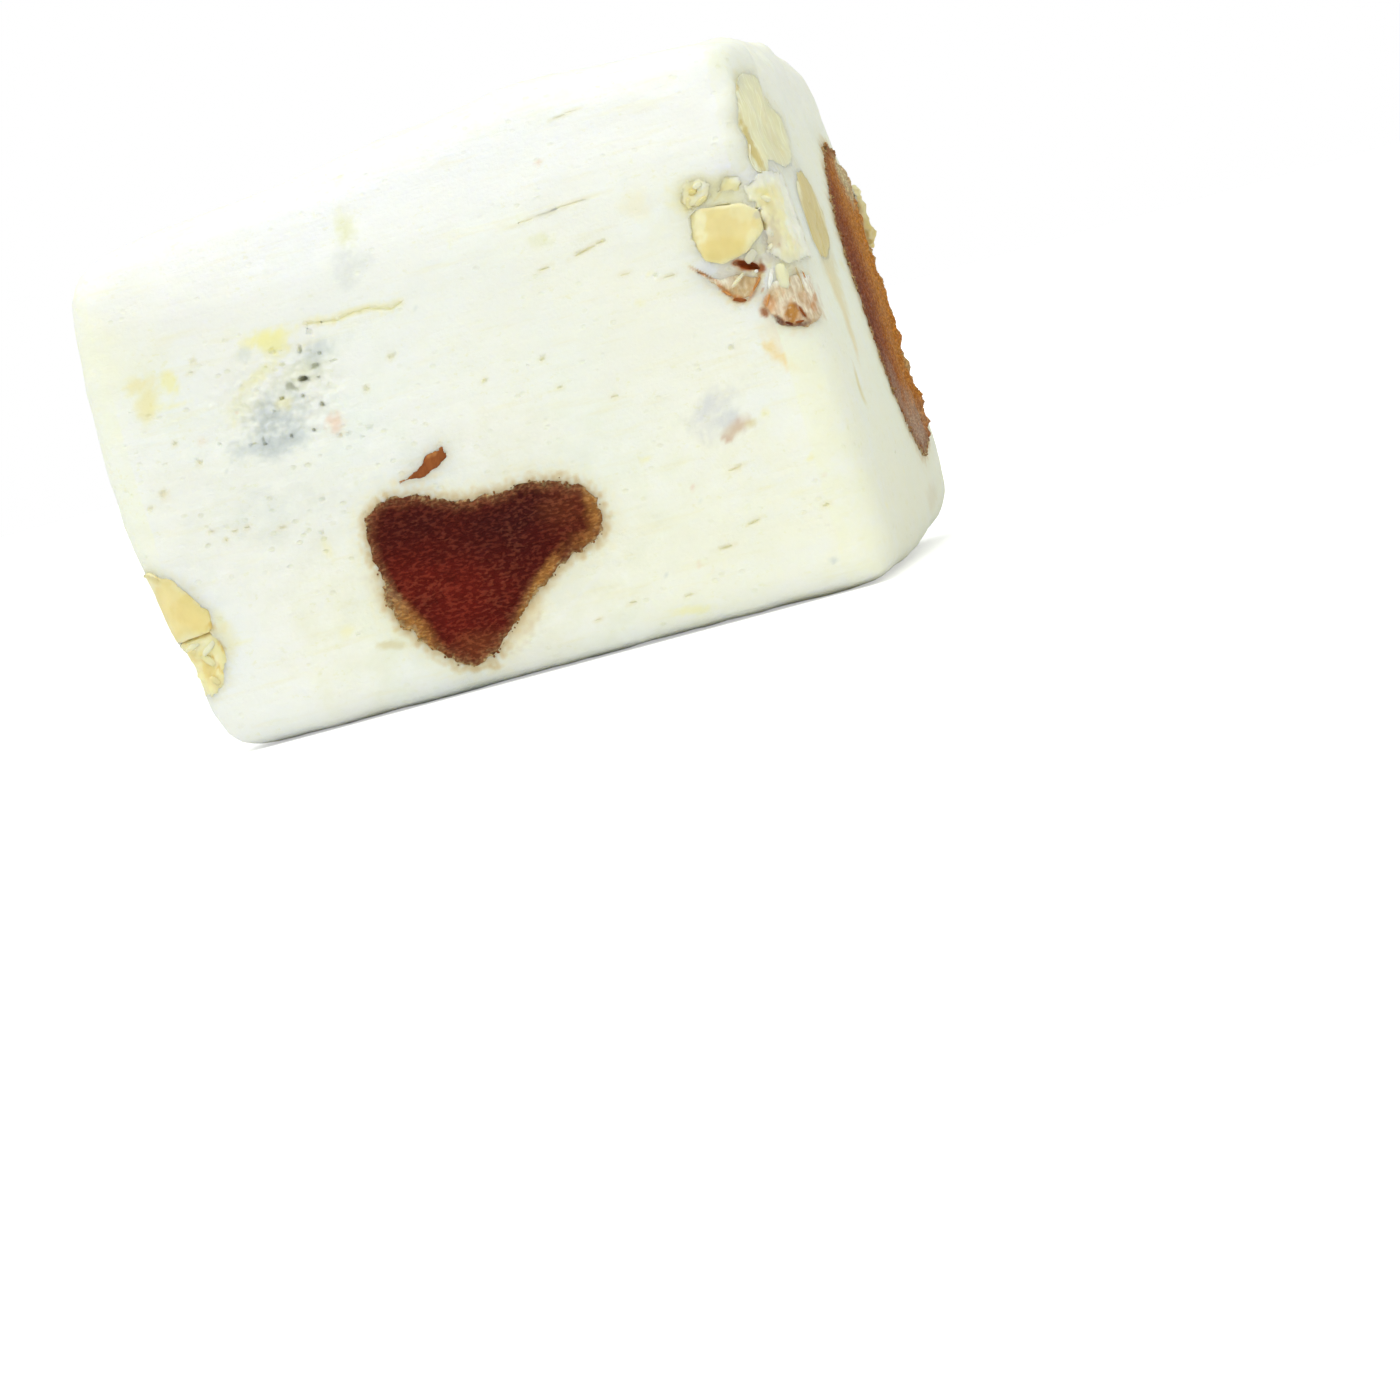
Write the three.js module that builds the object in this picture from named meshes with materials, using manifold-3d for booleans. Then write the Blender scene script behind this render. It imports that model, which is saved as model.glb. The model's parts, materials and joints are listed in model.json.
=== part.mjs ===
// A cut piece of nougat bar: a soft white block with fruit jelly, nut pieces and nut skins
// pressed into it and cut flush with its faces.
// Millimetres, +Z up. The piece stands on the cut face z = 0, its length along X and its
// clean cut face towards -Y. The origin is the middle of its base.
import * as THREE from 'three';
import { mergeVertices } from 'three/addons/utils/BufferGeometryUtils.js';
import Module from 'manifold-3d';

// ---------------------------------------------------------------- driving dimensions
const LENGTH = 29.4; // X, between the flat parts of the two end faces
const DEPTH = 21; // Y, front cut to back cut
const HEIGHT = 23.1; // Z, base to the top of the right end
const EDGE_RADIUS_FRONT = 1.2; // soft rounding of the edges round the front face
const EDGE_RADIUS_BACK = 1.9; // and round the back face

const LEFT_TOP_DROP = 1.9; // the top falls towards the left end
const TOP_CROWN = 0.9; // the top bulges along its length
const TOP_CROWN_ACROSS = 0.2; // and across it
const LEFT_LEAN = 1.3; // the left end leans out at the top
const LEFT_BULGE = 1.8; // and swells at mid height
const LEFT_BULGE_FALL = 0.3; // by this share less at the front and back edges
const RIGHT_LEAN = -0.9; // the right end leans in at the top
const RIGHT_BULGE = 0.5;
const FRONT_BELLY = 0.3;
const BACK_BELLY = 0.4;
const BASE_CORNER_LIFT = 0.55; // the right back corner of the base is rubbed round
const TOP_CORNER_DROP = 0.5; // and so is the one above it
const TOP_CORNER_INSET = 0.45;

// Swells and hollows left by the hand: [place, half width, height], those of the top along X
// and those of the right back edge up Z.
const TOP_WAVES = [[4.8, 2.6, 0.35], [-6.8, 3.0, -0.17], [-13.2, 1.8, 0.19]];
const BACK_EDGE_WAVES = [[12.6, 4.6, -0.3], [7.6, 1.5, -0.25], [4.6, 1.6, 0.2]];

const CREASE_HEIGHT = 18.3; // above it the front is a band that leans back
const CREASE_RISE = 1.8; // the crease climbs by this much towards both ends
const BAND_SET_BACK = 0.9; // how far the band's top edge is set back
const DENT_AT = [-7.9, 14.0]; // porous sunken patch on the front, x and z
const DENT_SIZE = [3.2, 2.3];
const DENT_DEPTH = 0.3;

const GRID = [20, 10, 20]; // cells of the block's surface along X, Y and Z
const RIM_CELLS = 2; // of these, the cells in each edge rounding
const FLAT_PART = 0.9; // share of a face that is clear of its edge roundings
const GAP = 0.08; // clearance between the nougat and each piece pressed into it
const PROUD = 1.6; // how far the cutting shapes stand out of the face they cut
const RING_DEPTHS = [1, 0.6, 0]; // where a pressed piece is measured, of its full depth
const OUTLINE_STEPS = 2; // points per span of a smoothed outline

const HALF = new THREE.Vector3(LENGTH / 2, DEPTH / 2, HEIGHT / 2);

const MATERIALS = {
  nougat: { color: 0xf3f5e6, roughness: 0.6, metalness: 0 },
  jelly: { color: 0x5c1c12, roughness: 0.4, metalness: 0 },
  nut: { color: 0xecd990, roughness: 0.5, metalness: 0 },
  skin: { color: 0x8a4a24, roughness: 0.7, metalness: 0 },
};

// Each face of the block as a right-handed set: across it, up it and out of it.
const FACES = {
  front: { across: [1, 0, 0], up: [0, 0, 1], out: [0, -1, 0] },
  right: { across: [0, 1, 0], up: [0, 0, 1], out: [1, 0, 0] },
  back: { across: [-1, 0, 0], up: [0, 0, 1], out: [0, 1, 0] },
  left: { across: [0, -1, 0], up: [0, 0, 1], out: [-1, 0, 0] },
  top: { across: [1, 0, 0], up: [0, 1, 0], out: [0, 0, 1] },
  base: { across: [1, 0, 0], up: [0, -1, 0], out: [0, 0, -1] },
};

// ---------------------------------------------------------------- pieces in the nougat
// Outlines are in the face's own across and up coordinates; depth runs into the nougat.
// dome is how much the piece narrows towards its hidden inner end, and stand is how far its
// cut face stands out of the nougat's, or below it where negative.
const PIECES = [
  {
    name: 'jelly_front', material: 'jelly', face: 'front', depth: 7, dome: 0.35,
    outline: smoothed([
      [-6.0, 8.1], [-5.0, 8.75], [-3.3, 8.45], [-1.5, 7.8], [0.6, 7.9], [2.5, 7.65], [3.8, 6.5],
      [3.55, 4.95], [2.0, 4.35], [0.1, 3.3], [-1.4, 2.0], [-2.5, 1.15], [-3.7, 1.1],
      [-5.1, 2.4], [-5.6, 4.2], [-6.3, 6.3],
    ]),
  },
  {
    name: 'nut_side_bit', material: 'nut', face: 'right', depth: 2, dome: 0.3, stand: 0.4,
    outline: kernel({ at: [9.5, 14.7], size: [2.6, 2.9], turn: 0.1, sides: 10, seed: 1.2 }),
  },
  {
    name: 'jelly_side', material: 'jelly', face: 'right', depth: 4.6, dome: 0.3, stand: 0.1,
    outline: smoothed([
      [4.3, 18.2], [1.4, 17.2], [-0.5, 15.6], [-1.3, 13.2], [-1.1, 10.4], [-0.6, 8.0],
      [0.9, 5.7], [3.4, 4.0], [5.8, 4.4], [8.4, 6.0], [12.4, 7.4], [12.9, 11.4], [12.4, 15.4],
      [8.6, 16.3], [6.2, 17.5],
    ]),
  },
  {
    name: 'jelly_back', material: 'jelly', face: 'back', depth: 6, dome: 0.3,
    outline: smoothed([
      [-3.6, 12.1], [-1.4, 15.3], [1.2, 16.6], [3.6, 15.8], [6.6, 14.9], [8.9, 12.4],
      [6.4, 9.4], [3.4, 7.6], [0.4, 8.1], [-1.9, 9.4],
    ]),
  },
  {
    name: 'jelly_left', material: 'jelly', face: 'left', depth: 4.5, dome: 0.3,
    outline: smoothed([
      [-7.2, 8.6], [-5.6, 10.1], [-2.9, 9.8], [-0.6, 8.7], [-0.9, 6.6], [-3.0, 4.9],
      [-5.9, 5.3],
    ]),
  },
  {
    name: 'nut_corner', material: 'nut', face: 'front', depth: 3, dome: 0.4, stand: 0.25,
    outline: [
      [10.4, 15.4], [10.6, 16.5], [11.3, 16.7], [12.6, 16.5], [13.4, 15.9], [13.3, 15.1],
      [12.5, 14.4], [11.4, 14.15], [10.7, 14.5],
    ],
  },
  {
    name: 'nut_corner_flesh', material: 'nut', face: 'front', depth: 2.6, dome: 0.2, stand: 0.1,
    outline: [
      [13.0, 16.9], [13.9, 17.3], [15.6, 17.0], [15.8, 15.4], [15.4, 13.7], [14.1, 13.4],
      [13.2, 14.1], [13.5, 15.2],
    ],
  },
  {
    name: 'nut_corner_shard', material: 'nut', face: 'front', depth: 1.6, dome: 0.3, stand: -0.15,
    outline: [[11.9, 17.0], [12.3, 17.6], [12.9, 17.4], [12.75, 16.8]],
  },
  {
    name: 'nut_corner_crumb', material: 'nut', face: 'front', depth: 1.1, dome: 0.4, stand: 0.3,
    outline: [[10.5, 17.1], [10.85, 17.65], [11.55, 17.6], [11.6, 17.05], [11.0, 16.95]],
  },
  {
    name: 'skin_upper', material: 'skin', face: 'front', depth: 1.2, dome: 0.2, stand: -0.1,
    outline: [
      [10.1, 14.3], [11.0, 13.8], [11.9, 13.75], [12.7, 13.3], [12.2, 12.5], [11.4, 12.55],
      [10.8, 13.3],
    ],
  },
  {
    name: 'skin_lower', material: 'skin', face: 'front', depth: 1.8, dome: 0.3,
    outline: [
      [12.45, 12.3], [13.1, 12.95], [14.2, 13.1], [15.2, 12.4], [15.2, 11.2], [13.9, 10.8],
      [12.9, 11.2],
    ],
  },
  {
    name: 'sliver', material: 'skin', face: 'front', depth: 0.7, dome: 0.1,
    outline: [
      [-4.25, 9.2], [-3.3, 9.5], [-2.7, 10.05], [-1.95, 10.2], [-1.8, 9.85], [-2.4, 9.4],
      [-3.2, 9.15],
    ],
  },
  {
    name: 'nut_left_upper', material: 'nut', face: 'front', depth: 3.4, dome: 0.3, stand: -0.1,
    outline: [
      [-17.6, 8.4], [-16.1, 8.2], [-15.0, 7.9], [-14.3, 6.9], [-13.75, 6.2], [-13.8, 5.45],
      [-15.4, 5.3], [-17.6, 5.2],
    ],
  },
  {
    name: 'nut_left_lower', material: 'nut', face: 'front', depth: 2.6, dome: 0.3, stand: -0.25,
    outline: [
      [-16.8, 5.0], [-15.4, 5.05], [-13.75, 5.15], [-13.5, 4.3], [-13.9, 3.2], [-14.5, 2.7],
      [-16.8, 2.9],
    ],
  },
  {
    name: 'nut_edge', material: 'nut', face: 'right', depth: 3, dome: 0.4,
    outline: kernel({ at: [-7.2, 19.3], size: [6.5, 4.2], turn: -0.22, sides: 16, seed: 0.4 }),
  },
  {
    name: 'nut_side', material: 'nut', face: 'right', depth: 3, dome: 0.4,
    outline: kernel({ at: [-4.5, 15.1], size: [4.2, 4.0], turn: 0.5, sides: 14, seed: 2.1 }),
  },
  {
    name: 'nut_back_kernel', material: 'nut', face: 'back', depth: 3, dome: 0.4,
    outline: kernel({ at: [-9.4, 16.6], size: [3.2, 6.3], turn: -0.15, sides: 16, seed: 0.9 }),
  },
  {
    name: 'nut_back_chunk', material: 'nut', face: 'back', depth: 4, dome: 0.4, stand: 0.2,
    outline: kernel({ at: [-7.6, 6.0], size: [5.6, 4.6], turn: 0.6, sides: 16, seed: 3.3 }),
  },
  {
    name: 'nut_back_chip', material: 'nut', face: 'back', depth: 1.8, dome: 0.4,
    outline: kernel({ at: [9.9, 6.8], size: [2.6, 1.7], turn: -0.4, sides: 10, seed: 5.2 }),
  },
  {
    name: 'nut_left_chunk', material: 'nut', face: 'left', depth: 4, dome: 0.4, stand: 0.2,
    outline: kernel({ at: [3.6, 13.8], size: [5.8, 6.0], turn: 0.2, sides: 18, seed: 4.1 }),
  },
  {
    name: 'skin_left', material: 'skin', face: 'left', depth: 1.2, dome: 0.2,
    outline: kernel({ at: [2.9, 9.9], size: [4.4, 1.0], turn: 0.16, sides: 12, seed: 2.7 }),
  },
  {
    name: 'nut_top', material: 'nut', face: 'top', depth: 2.6, dome: 0.4,
    outline: kernel({ at: [2.6, 3.4], size: [8.2, 3.4], turn: 0.35, sides: 18, seed: 0.2 }),
  },
  {
    name: 'nut_top_chip', material: 'nut', face: 'top', depth: 1.8, dome: 0.4,
    outline: kernel({ at: [-8.2, -3.0], size: [2.8, 2.0], turn: -0.5, sides: 10, seed: 1.9 }),
  },
  {
    name: 'nut_base', material: 'nut', face: 'base', depth: 2.4, dome: 0.4,
    outline: kernel({ at: [-6.0, 4.2], size: [6.0, 3.6], turn: 0.3, sides: 14, seed: 3.8 }),
  },
];

// ---------------------------------------------------------------- outlines
// A closed smooth outline through a few points, as a list of [across, up].
function smoothed(points) {
  const knots = points.map(([across, up]) => new THREE.Vector3(across, up, 0));
  const curve = new THREE.CatmullRomCurve3(knots, true, 'centripetal');
  const outline = [];
  const count = points.length * OUTLINE_STEPS;
  for (let i = 0; i < count; i += 1) {
    const point = curve.getPoint(i / count);
    outline.push([point.x, point.y]);
  }
  return outline;
}

// An uneven oval: the cut through a kernel or a broken nut.
function kernel({ at, size, turn, sides, seed }) {
  const outline = [];
  for (let i = 0; i < sides; i += 1) {
    const angle = (i / sides) * 2 * Math.PI;
    const wobble = 1 + 0.06 * Math.cos(3 * angle + seed) + 0.04 * Math.cos(5 * angle - 2 * seed);
    const x = (size[0] / 2) * wobble * Math.cos(angle);
    const y = (size[1] / 2) * wobble * Math.sin(angle);
    outline.push([
      at[0] + x * Math.cos(turn) - y * Math.sin(turn),
      at[1] + x * Math.sin(turn) + y * Math.cos(turn),
    ]);
  }
  return outline;
}

// The outline as an anticlockwise list, which the lofted solid needs to face outwards.
function anticlockwise(outline) {
  const points = outline.map(([x, y]) => new THREE.Vector2(x, y));
  if (THREE.ShapeUtils.isClockWise(points)) points.reverse();
  return points;
}

// Outward unit normal of a closed outline at each of its points.
function outlineNormals(points) {
  return points.map((point, i) => {
    const before = points[(i + points.length - 1) % points.length];
    const after = points[(i + 1) % points.length];
    const along = after.clone().sub(before);
    return new THREE.Vector2(along.y, -along.x).normalize();
  });
}

// ---------------------------------------------------------------- the block's shape
const smooth = (low, high, value) => {
  const t = THREE.MathUtils.clamp((value - low) / (high - low), 0, 1);
  return t * t * (3 - 2 * t);
};

const hump = (value) => Math.exp(-value * value);

// A point of the unit cube [-1, 1]^3 carried to the block's rounded, hand-cut surface, or
// to a surface at the distance stand outside it.
function blockPoint(unit, stand = 0) {
  const flat = unit.clone().multiply(HALF);
  const mix = smooth(-0.6, 0.9, unit.y);
  const radius = THREE.MathUtils.lerp(EDGE_RADIUS_FRONT, EDGE_RADIUS_BACK, mix);
  const inner = HALF.clone().subScalar(radius);
  const core = flat.clone().clamp(inner.clone().negate(), inner);
  const outwards = flat.clone().sub(core);
  outwards.setLength(radius + stand);
  const point = core.add(outwards);

  const u = point.x / HALF.x;
  const v = point.y / HALF.y;
  const rise = (point.z / HALF.z + 1) / 2; // 0 at the base, 1 at the top
  const swell = 4 * rise * (1 - rise); // 1 at mid height
  const toLeft = (1 - u) / 2;
  const toRight = (1 + u) / 2;
  const toFront = (1 - v) / 2;
  const toBack = (1 + v) / 2;

  const topFall = LEFT_TOP_DROP * toLeft - TOP_CROWN * (1 - u * u) - TOP_CROWN_ACROSS * (1 - v * v);
  point.z -= topFall * rise;
  point.x -= toLeft * (LEFT_LEAN * rise + LEFT_BULGE * swell * (1 - LEFT_BULGE_FALL * v * v));
  point.x += toRight * (RIGHT_LEAN * rise + RIGHT_BULGE * swell * (1 - v * v));
  point.y -= toFront * FRONT_BELLY * (1 - u * u) * swell;
  point.y += toBack * BACK_BELLY * (1 - u * u) * swell;

  const baseCorner = smooth(0.2, 1, u) * smooth(-0.4, 1, v) * (1 - smooth(0, 0.55, rise));
  point.z += baseCorner * BASE_CORNER_LIFT;
  const topCorner = smooth(0.2, 1, u) * smooth(0, 1, v) * smooth(0.6, 1, rise);
  point.z -= topCorner * TOP_CORNER_DROP;
  point.x -= topCorner * TOP_CORNER_INSET;
  point.z += HALF.z;

  point.z += rise * waves(TOP_WAVES, point.x);
  point.x += smooth(0.3, 1, u) * smooth(0.2, 1, v) * waves(BACK_EDGE_WAVES, point.z);
  point.y += smooth(0.6, 1, toFront) * bandSetBack(point);
  point.y += smooth(0.9, 1, toFront) * dentDepth(point);
  return point;
}

function waves(list, place) {
  const swells = list.map(([middle, width, height]) => height * hump((place - middle) / width));
  return swells.reduce((sum, swell) => sum + swell, 0);
}

// The upper band of the front leans back from the crease to the top edge.
function bandSetBack(point) {
  const crease = CREASE_HEIGHT + CREASE_RISE * (point.x / HALF.x) ** 4;
  return BAND_SET_BACK * Math.max(0, (point.z - crease) / (HEIGHT - CREASE_HEIGHT));
}

function dentDepth(point) {
  const across = (point.x - DENT_AT[0]) / DENT_SIZE[0];
  const up = (point.z - DENT_AT[1]) / DENT_SIZE[1];
  return DENT_DEPTH * hump(Math.hypot(across, up));
}

// Moves an even grid coordinate so that RIM_CELLS of the cells lie in each edge rounding.
function spread(coordinate, cells, half) {
  const rim = EDGE_RADIUS_BACK / half;
  const cell = ((1 - Math.abs(coordinate)) / 2) * cells; // cells in from the nearer end
  const side = Math.sign(coordinate);
  if (cell < RIM_CELLS) {
    const angle = (Math.PI / 4) * (1 - cell / RIM_CELLS);
    return side * (1 - rim + rim * Math.tan(angle));
  }
  const inside = (cell - RIM_CELLS) / (cells / 2 - RIM_CELLS);
  return side * (1 - rim) * (1 - inside);
}

function blockGeometry(stand) {
  const geometry = new THREE.BoxGeometry(2, 2, 2, ...GRID);
  const position = geometry.attributes.position;
  const unit = new THREE.Vector3();
  for (let i = 0; i < position.count; i += 1) {
    unit.fromBufferAttribute(position, i);
    unit.set(
      spread(unit.x, GRID[0], HALF.x),
      spread(unit.y, GRID[1], HALF.y),
      spread(unit.z, GRID[2], HALF.z),
    );
    position.setXYZ(i, ...blockPoint(unit, stand));
  }
  return geometry;
}

// ---------------------------------------------------------------- solids
const wasm = await Module();
wasm.setup();

function solidOf(geometry) {
  const bare = geometry.clone();
  bare.deleteAttribute('normal');
  bare.deleteAttribute('uv');
  const merged = mergeVertices(bare, 1e-5);
  const mesh = new wasm.Mesh({
    numProp: 3,
    vertProperties: new Float32Array(merged.attributes.position.array),
    triVerts: new Uint32Array(merged.index.array),
  });
  return new wasm.Manifold(mesh);
}

function geometryOf(solid) {
  const mesh = solid.getMesh();
  const geometry = new THREE.BufferGeometry();
  geometry.setAttribute('position', new THREE.BufferAttribute(mesh.vertProperties, 3));
  geometry.setIndex(new THREE.BufferAttribute(mesh.triVerts, 1));
  geometry.computeVertexNormals();
  return geometry;
}

// A closed solid through rings of equal point count, the first ring being the inner end.
function loftGeometry(rings) {
  const count = rings[0].length;
  const position = rings.flat().flatMap((point) => [point.x, point.y, point.z]);
  const index = [];
  for (let ring = 0; ring + 1 < rings.length; ring += 1) {
    for (let i = 0; i < count; i += 1) {
      const a = ring * count + i;
      const b = ring * count + ((i + 1) % count);
      index.push(a, b, b + count, a, b + count, a + count);
    }
  }
  const last = (rings.length - 1) * count;
  const flatRing = (ring) => ring.map((point) => new THREE.Vector2(point.x, point.y));
  for (const [a, b, c] of THREE.ShapeUtils.triangulateShape(flatRing(rings[0]), [])) {
    index.push(a, c, b);
  }
  for (const [a, b, c] of THREE.ShapeUtils.triangulateShape(flatRing(rings.at(-1)), [])) {
    index.push(last + a, last + b, last + c);
  }
  const geometry = new THREE.BufferGeometry();
  geometry.setAttribute('position', new THREE.Float32BufferAttribute(position, 3));
  geometry.setIndex(index);
  return geometry;
}

// How far out the block's surface lies under the middle of an outline on a face. A middle
// near an edge is measured just inside the edge's rounding.
function surfaceDistance(face, middle) {
  const across = new THREE.Vector3(...face.across);
  const up = new THREE.Vector3(...face.up);
  const out = new THREE.Vector3(...face.out);
  const place = across.multiplyScalar(middle.x).addScaledVector(up, middle.y);
  if (face.out[2] === 0) place.z -= HALF.z;
  const unit = place.divide(HALF).add(out).clampScalar(-FLAT_PART, FLAT_PART);
  const onFace = new THREE.Vector3(
    face.out[0] === 0 ? unit.x : face.out[0],
    face.out[1] === 0 ? unit.y : face.out[1],
    face.out[2] === 0 ? unit.z : face.out[2],
  );
  return blockPoint(onFace).dot(out);
}

// The shape a piece is cut from: its outline, straight where it leaves the face and
// narrowing inwards. grow widens it all round, for the pocket that holds it.
function plug({ face, outline, depth, dome }, grow = 0) {
  const side = FACES[face];
  const points = anticlockwise(outline);
  const normals = outlineNormals(points);
  const middle = new THREE.Box2().setFromPoints(points).getCenter(new THREE.Vector2());
  const rings = RING_DEPTHS.map((inwards) => {
    const width = Math.sqrt(1 - dome * inwards * inwards);
    return points.map((point, i) => {
      const spot = point.clone().sub(middle).multiplyScalar(width).add(middle);
      spot.addScaledVector(normals[i], grow);
      return new THREE.Vector3(spot.x, spot.y, -inwards * (depth + grow));
    });
  });
  rings.push(rings.at(-1).map((point) => point.clone().setZ(PROUD)));
  const geometry = loftGeometry(rings);
  geometry.applyMatrix4(new THREE.Matrix4().makeTranslation(0, 0, surfaceDistance(side, middle)));
  const basis = new THREE.Matrix4().makeBasis(
    new THREE.Vector3(...side.across),
    new THREE.Vector3(...side.up),
    new THREE.Vector3(...side.out),
  );
  geometry.applyMatrix4(basis);
  return solidOf(geometry);
}

// ---------------------------------------------------------------- the object
function namedMesh(name, material, solid) {
  const mesh = new THREE.Mesh(geometryOf(solid), new THREE.MeshStandardMaterial(MATERIALS[material]));
  mesh.name = name;
  return mesh;
}

function nougatBar() {
  const group = new THREE.Group();
  let nougat = solidOf(blockGeometry(0));
  const pockets = [];
  for (const piece of PIECES) {
    const reach = solidOf(blockGeometry(piece.stand ?? 0));
    const cut = pockets.reduce((solid, pocket) => solid.subtract(pocket), plug(piece).intersect(reach));
    group.add(namedMesh(piece.name, piece.material, cut));
    pockets.push(plug(piece, GAP));
    nougat = nougat.subtract(pockets.at(-1));
  }
  group.add(namedMesh('nougat', 'nougat', nougat));

  const box = new THREE.Box3().setFromObject(group);
  const middle = box.getCenter(new THREE.Vector3());
  for (const mesh of group.children) {
    mesh.geometry.translate(-middle.x, -middle.y, -box.min.z);
  }
  return group;
}

export default nougatBar();
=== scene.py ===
"""A cut piece of nougat bar with fruit jelly, nuts and nut skins, dressed on its CAD frame."""

import json
import math
import random

import bpy
import numpy
from mathutils import Euler, Matrix, Vector, kdtree, noise

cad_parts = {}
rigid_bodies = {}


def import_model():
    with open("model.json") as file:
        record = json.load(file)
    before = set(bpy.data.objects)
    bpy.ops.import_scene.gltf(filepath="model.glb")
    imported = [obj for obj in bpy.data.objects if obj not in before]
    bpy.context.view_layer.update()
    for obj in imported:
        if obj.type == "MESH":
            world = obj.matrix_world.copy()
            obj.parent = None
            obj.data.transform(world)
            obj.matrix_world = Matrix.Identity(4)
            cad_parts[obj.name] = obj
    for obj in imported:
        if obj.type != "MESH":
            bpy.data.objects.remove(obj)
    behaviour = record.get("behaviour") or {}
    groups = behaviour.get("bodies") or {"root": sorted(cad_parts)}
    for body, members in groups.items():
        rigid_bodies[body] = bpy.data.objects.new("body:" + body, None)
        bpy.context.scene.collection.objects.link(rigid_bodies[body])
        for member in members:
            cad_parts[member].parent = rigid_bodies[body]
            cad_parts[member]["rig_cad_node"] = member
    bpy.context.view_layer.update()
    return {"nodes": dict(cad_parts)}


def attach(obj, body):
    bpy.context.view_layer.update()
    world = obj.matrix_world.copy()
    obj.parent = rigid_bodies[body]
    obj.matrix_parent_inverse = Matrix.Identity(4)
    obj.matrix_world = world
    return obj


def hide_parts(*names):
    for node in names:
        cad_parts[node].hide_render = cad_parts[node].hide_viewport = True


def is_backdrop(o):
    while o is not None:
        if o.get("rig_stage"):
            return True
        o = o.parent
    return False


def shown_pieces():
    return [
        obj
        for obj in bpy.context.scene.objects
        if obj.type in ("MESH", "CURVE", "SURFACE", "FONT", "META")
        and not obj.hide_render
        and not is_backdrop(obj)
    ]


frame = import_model()
NODES = frame["nodes"]

MM = 0.001

# ------------------------------------------------------------------ camera
AZIMUTH, ELEVATION, ROLL = 13.69, 0.27, -15.9  # degrees
DISTANCE = 197.2 * MM
LENS, SENSOR = 116.74, 36.0
FRAME_PIXELS = 1400
CENTRE_PIXEL = (537.3, 382.7)  # where the middle of the piece falls
PIECE_CENTRE = Vector((1.227, -0.047, 11.58)) * MM

# ------------------------------------------------------------------ faces of the block
# Each face as the directions across it, up it and out of it.
FACES = {
    "front": (Vector((1, 0, 0)), Vector((0, 0, 1)), Vector((0, -1, 0))),
    "right": (Vector((0, 1, 0)), Vector((0, 0, 1)), Vector((1, 0, 0))),
    "back": (Vector((-1, 0, 0)), Vector((0, 0, 1)), Vector((0, 1, 0))),
    "left": (Vector((0, -1, 0)), Vector((0, 0, 1)), Vector((-1, 0, 0))),
    "top": (Vector((1, 0, 0)), Vector((0, 1, 0)), Vector((0, 0, 1))),
    "base": (Vector((1, 0, 0)), Vector((0, -1, 0)), Vector((0, 0, -1))),
}

# ------------------------------------------------------------------ fine sizes
BLOCK_VOXEL = 0.48 * MM
JELLY_VOXEL = 0.13 * MM
NUT_VOXEL = 0.09 * MM
SKIN_VOXEL = 0.8 * NUT_VOXEL
PIT_VOXEL = 0.08 * MM
MARK_REACH = 2.2  # mm that a stain reaches into the nougat from its face
OPEN_REACH = 0.65 * MM  # how far a piece's open face lies from the nougat's surface at most
POCKET_INSET, JELLY_INSET = 0.09, 0.12  # mm that a pocket is tighter than the piece in it
DRAWN_OUT = 0.6 * MM  # how far a cutter's open face is moved out of the nougat
FLUSH_GAP = 0.03 * MM  # how far an open face stands proud of the nougat's
# An open face's normals go the nougat's way by more than this, 1 being all the way.
CUTTER_SLOPE, OPEN_SLOPE = 0.88, 0.35
SIDE_SLOPE = 0.3  # the normals of a piece's sides go out of the cut face by less than this
CRACK_STEP = 0.16  # mm between the holes that make the crack

# ------------------------------------------------------------------ colours
# Stains multiply the nougat's own off-white, and so do the tints used here as painted shade, painted
# highlight and painted reflected light.
STAINS_AND_PAINTED_LIGHT = {
    "white": (1.03, 1.02, 1.08),
    "cream": (1.0, 0.975, 0.84),
    "yellow": (1.02, 0.95, 0.55),
    "orange": (1.0, 0.83, 0.52),
    "ochre": (0.82, 0.70, 0.38),
    "olive": (0.88, 0.87, 0.66),
    "slate": (0.66, 0.70, 0.76),
    "mauve": (0.80, 0.80, 0.86),
    "straw": (1.0, 1.0, 0.88),
    "rose": (0.93, 0.72, 0.62),
    "rust": (0.60, 0.30, 0.16),
    "tan": (0.74, 0.56, 0.36),
    "wine": (0.42, 0.095, 0.012),
    # The next tint is painted shade, for the insides of holes.
    "hole_shade": (0.10, 0.10, 0.09),
    "shade": (0.80, 0.82, 0.82),
    "fog": (0.90, 0.91, 0.93),
    "caramel": (0.74, 0.52, 0.26),
    "honey": (0.98, 0.90, 0.62),
    "syrup": (0.91, 0.79, 0.52),
}
NOUGAT_TONE = (0.93, 0.945, 0.86)
SOFT_EDGED_TINTS = ("white", "cream", "slate", "mauve", "straw", "shade", "fog", "olive", "rose")
JELLY_TONES = {
    "core": (0.090, 0.007, 0.004),
    "dark": (0.050, 0.008, 0.007),
    "red": (0.165, 0.012, 0.006),
    "brown": (0.235, 0.062, 0.020),
    "toffee": (0.430, 0.145, 0.020),
    "glow": (0.520, 0.205, 0.030),
    "crust": (0.580, 0.450, 0.220),
    "frost": (0.440, 0.310, 0.220),
    "pale": (0.640, 0.550, 0.330),
    "rim": (0.260, 0.100, 0.040),
    "amber": (0.460, 0.210, 0.050),
    "tan": (0.400, 0.250, 0.110),
    "grain": (0.640, 0.450, 0.220),
}
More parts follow.
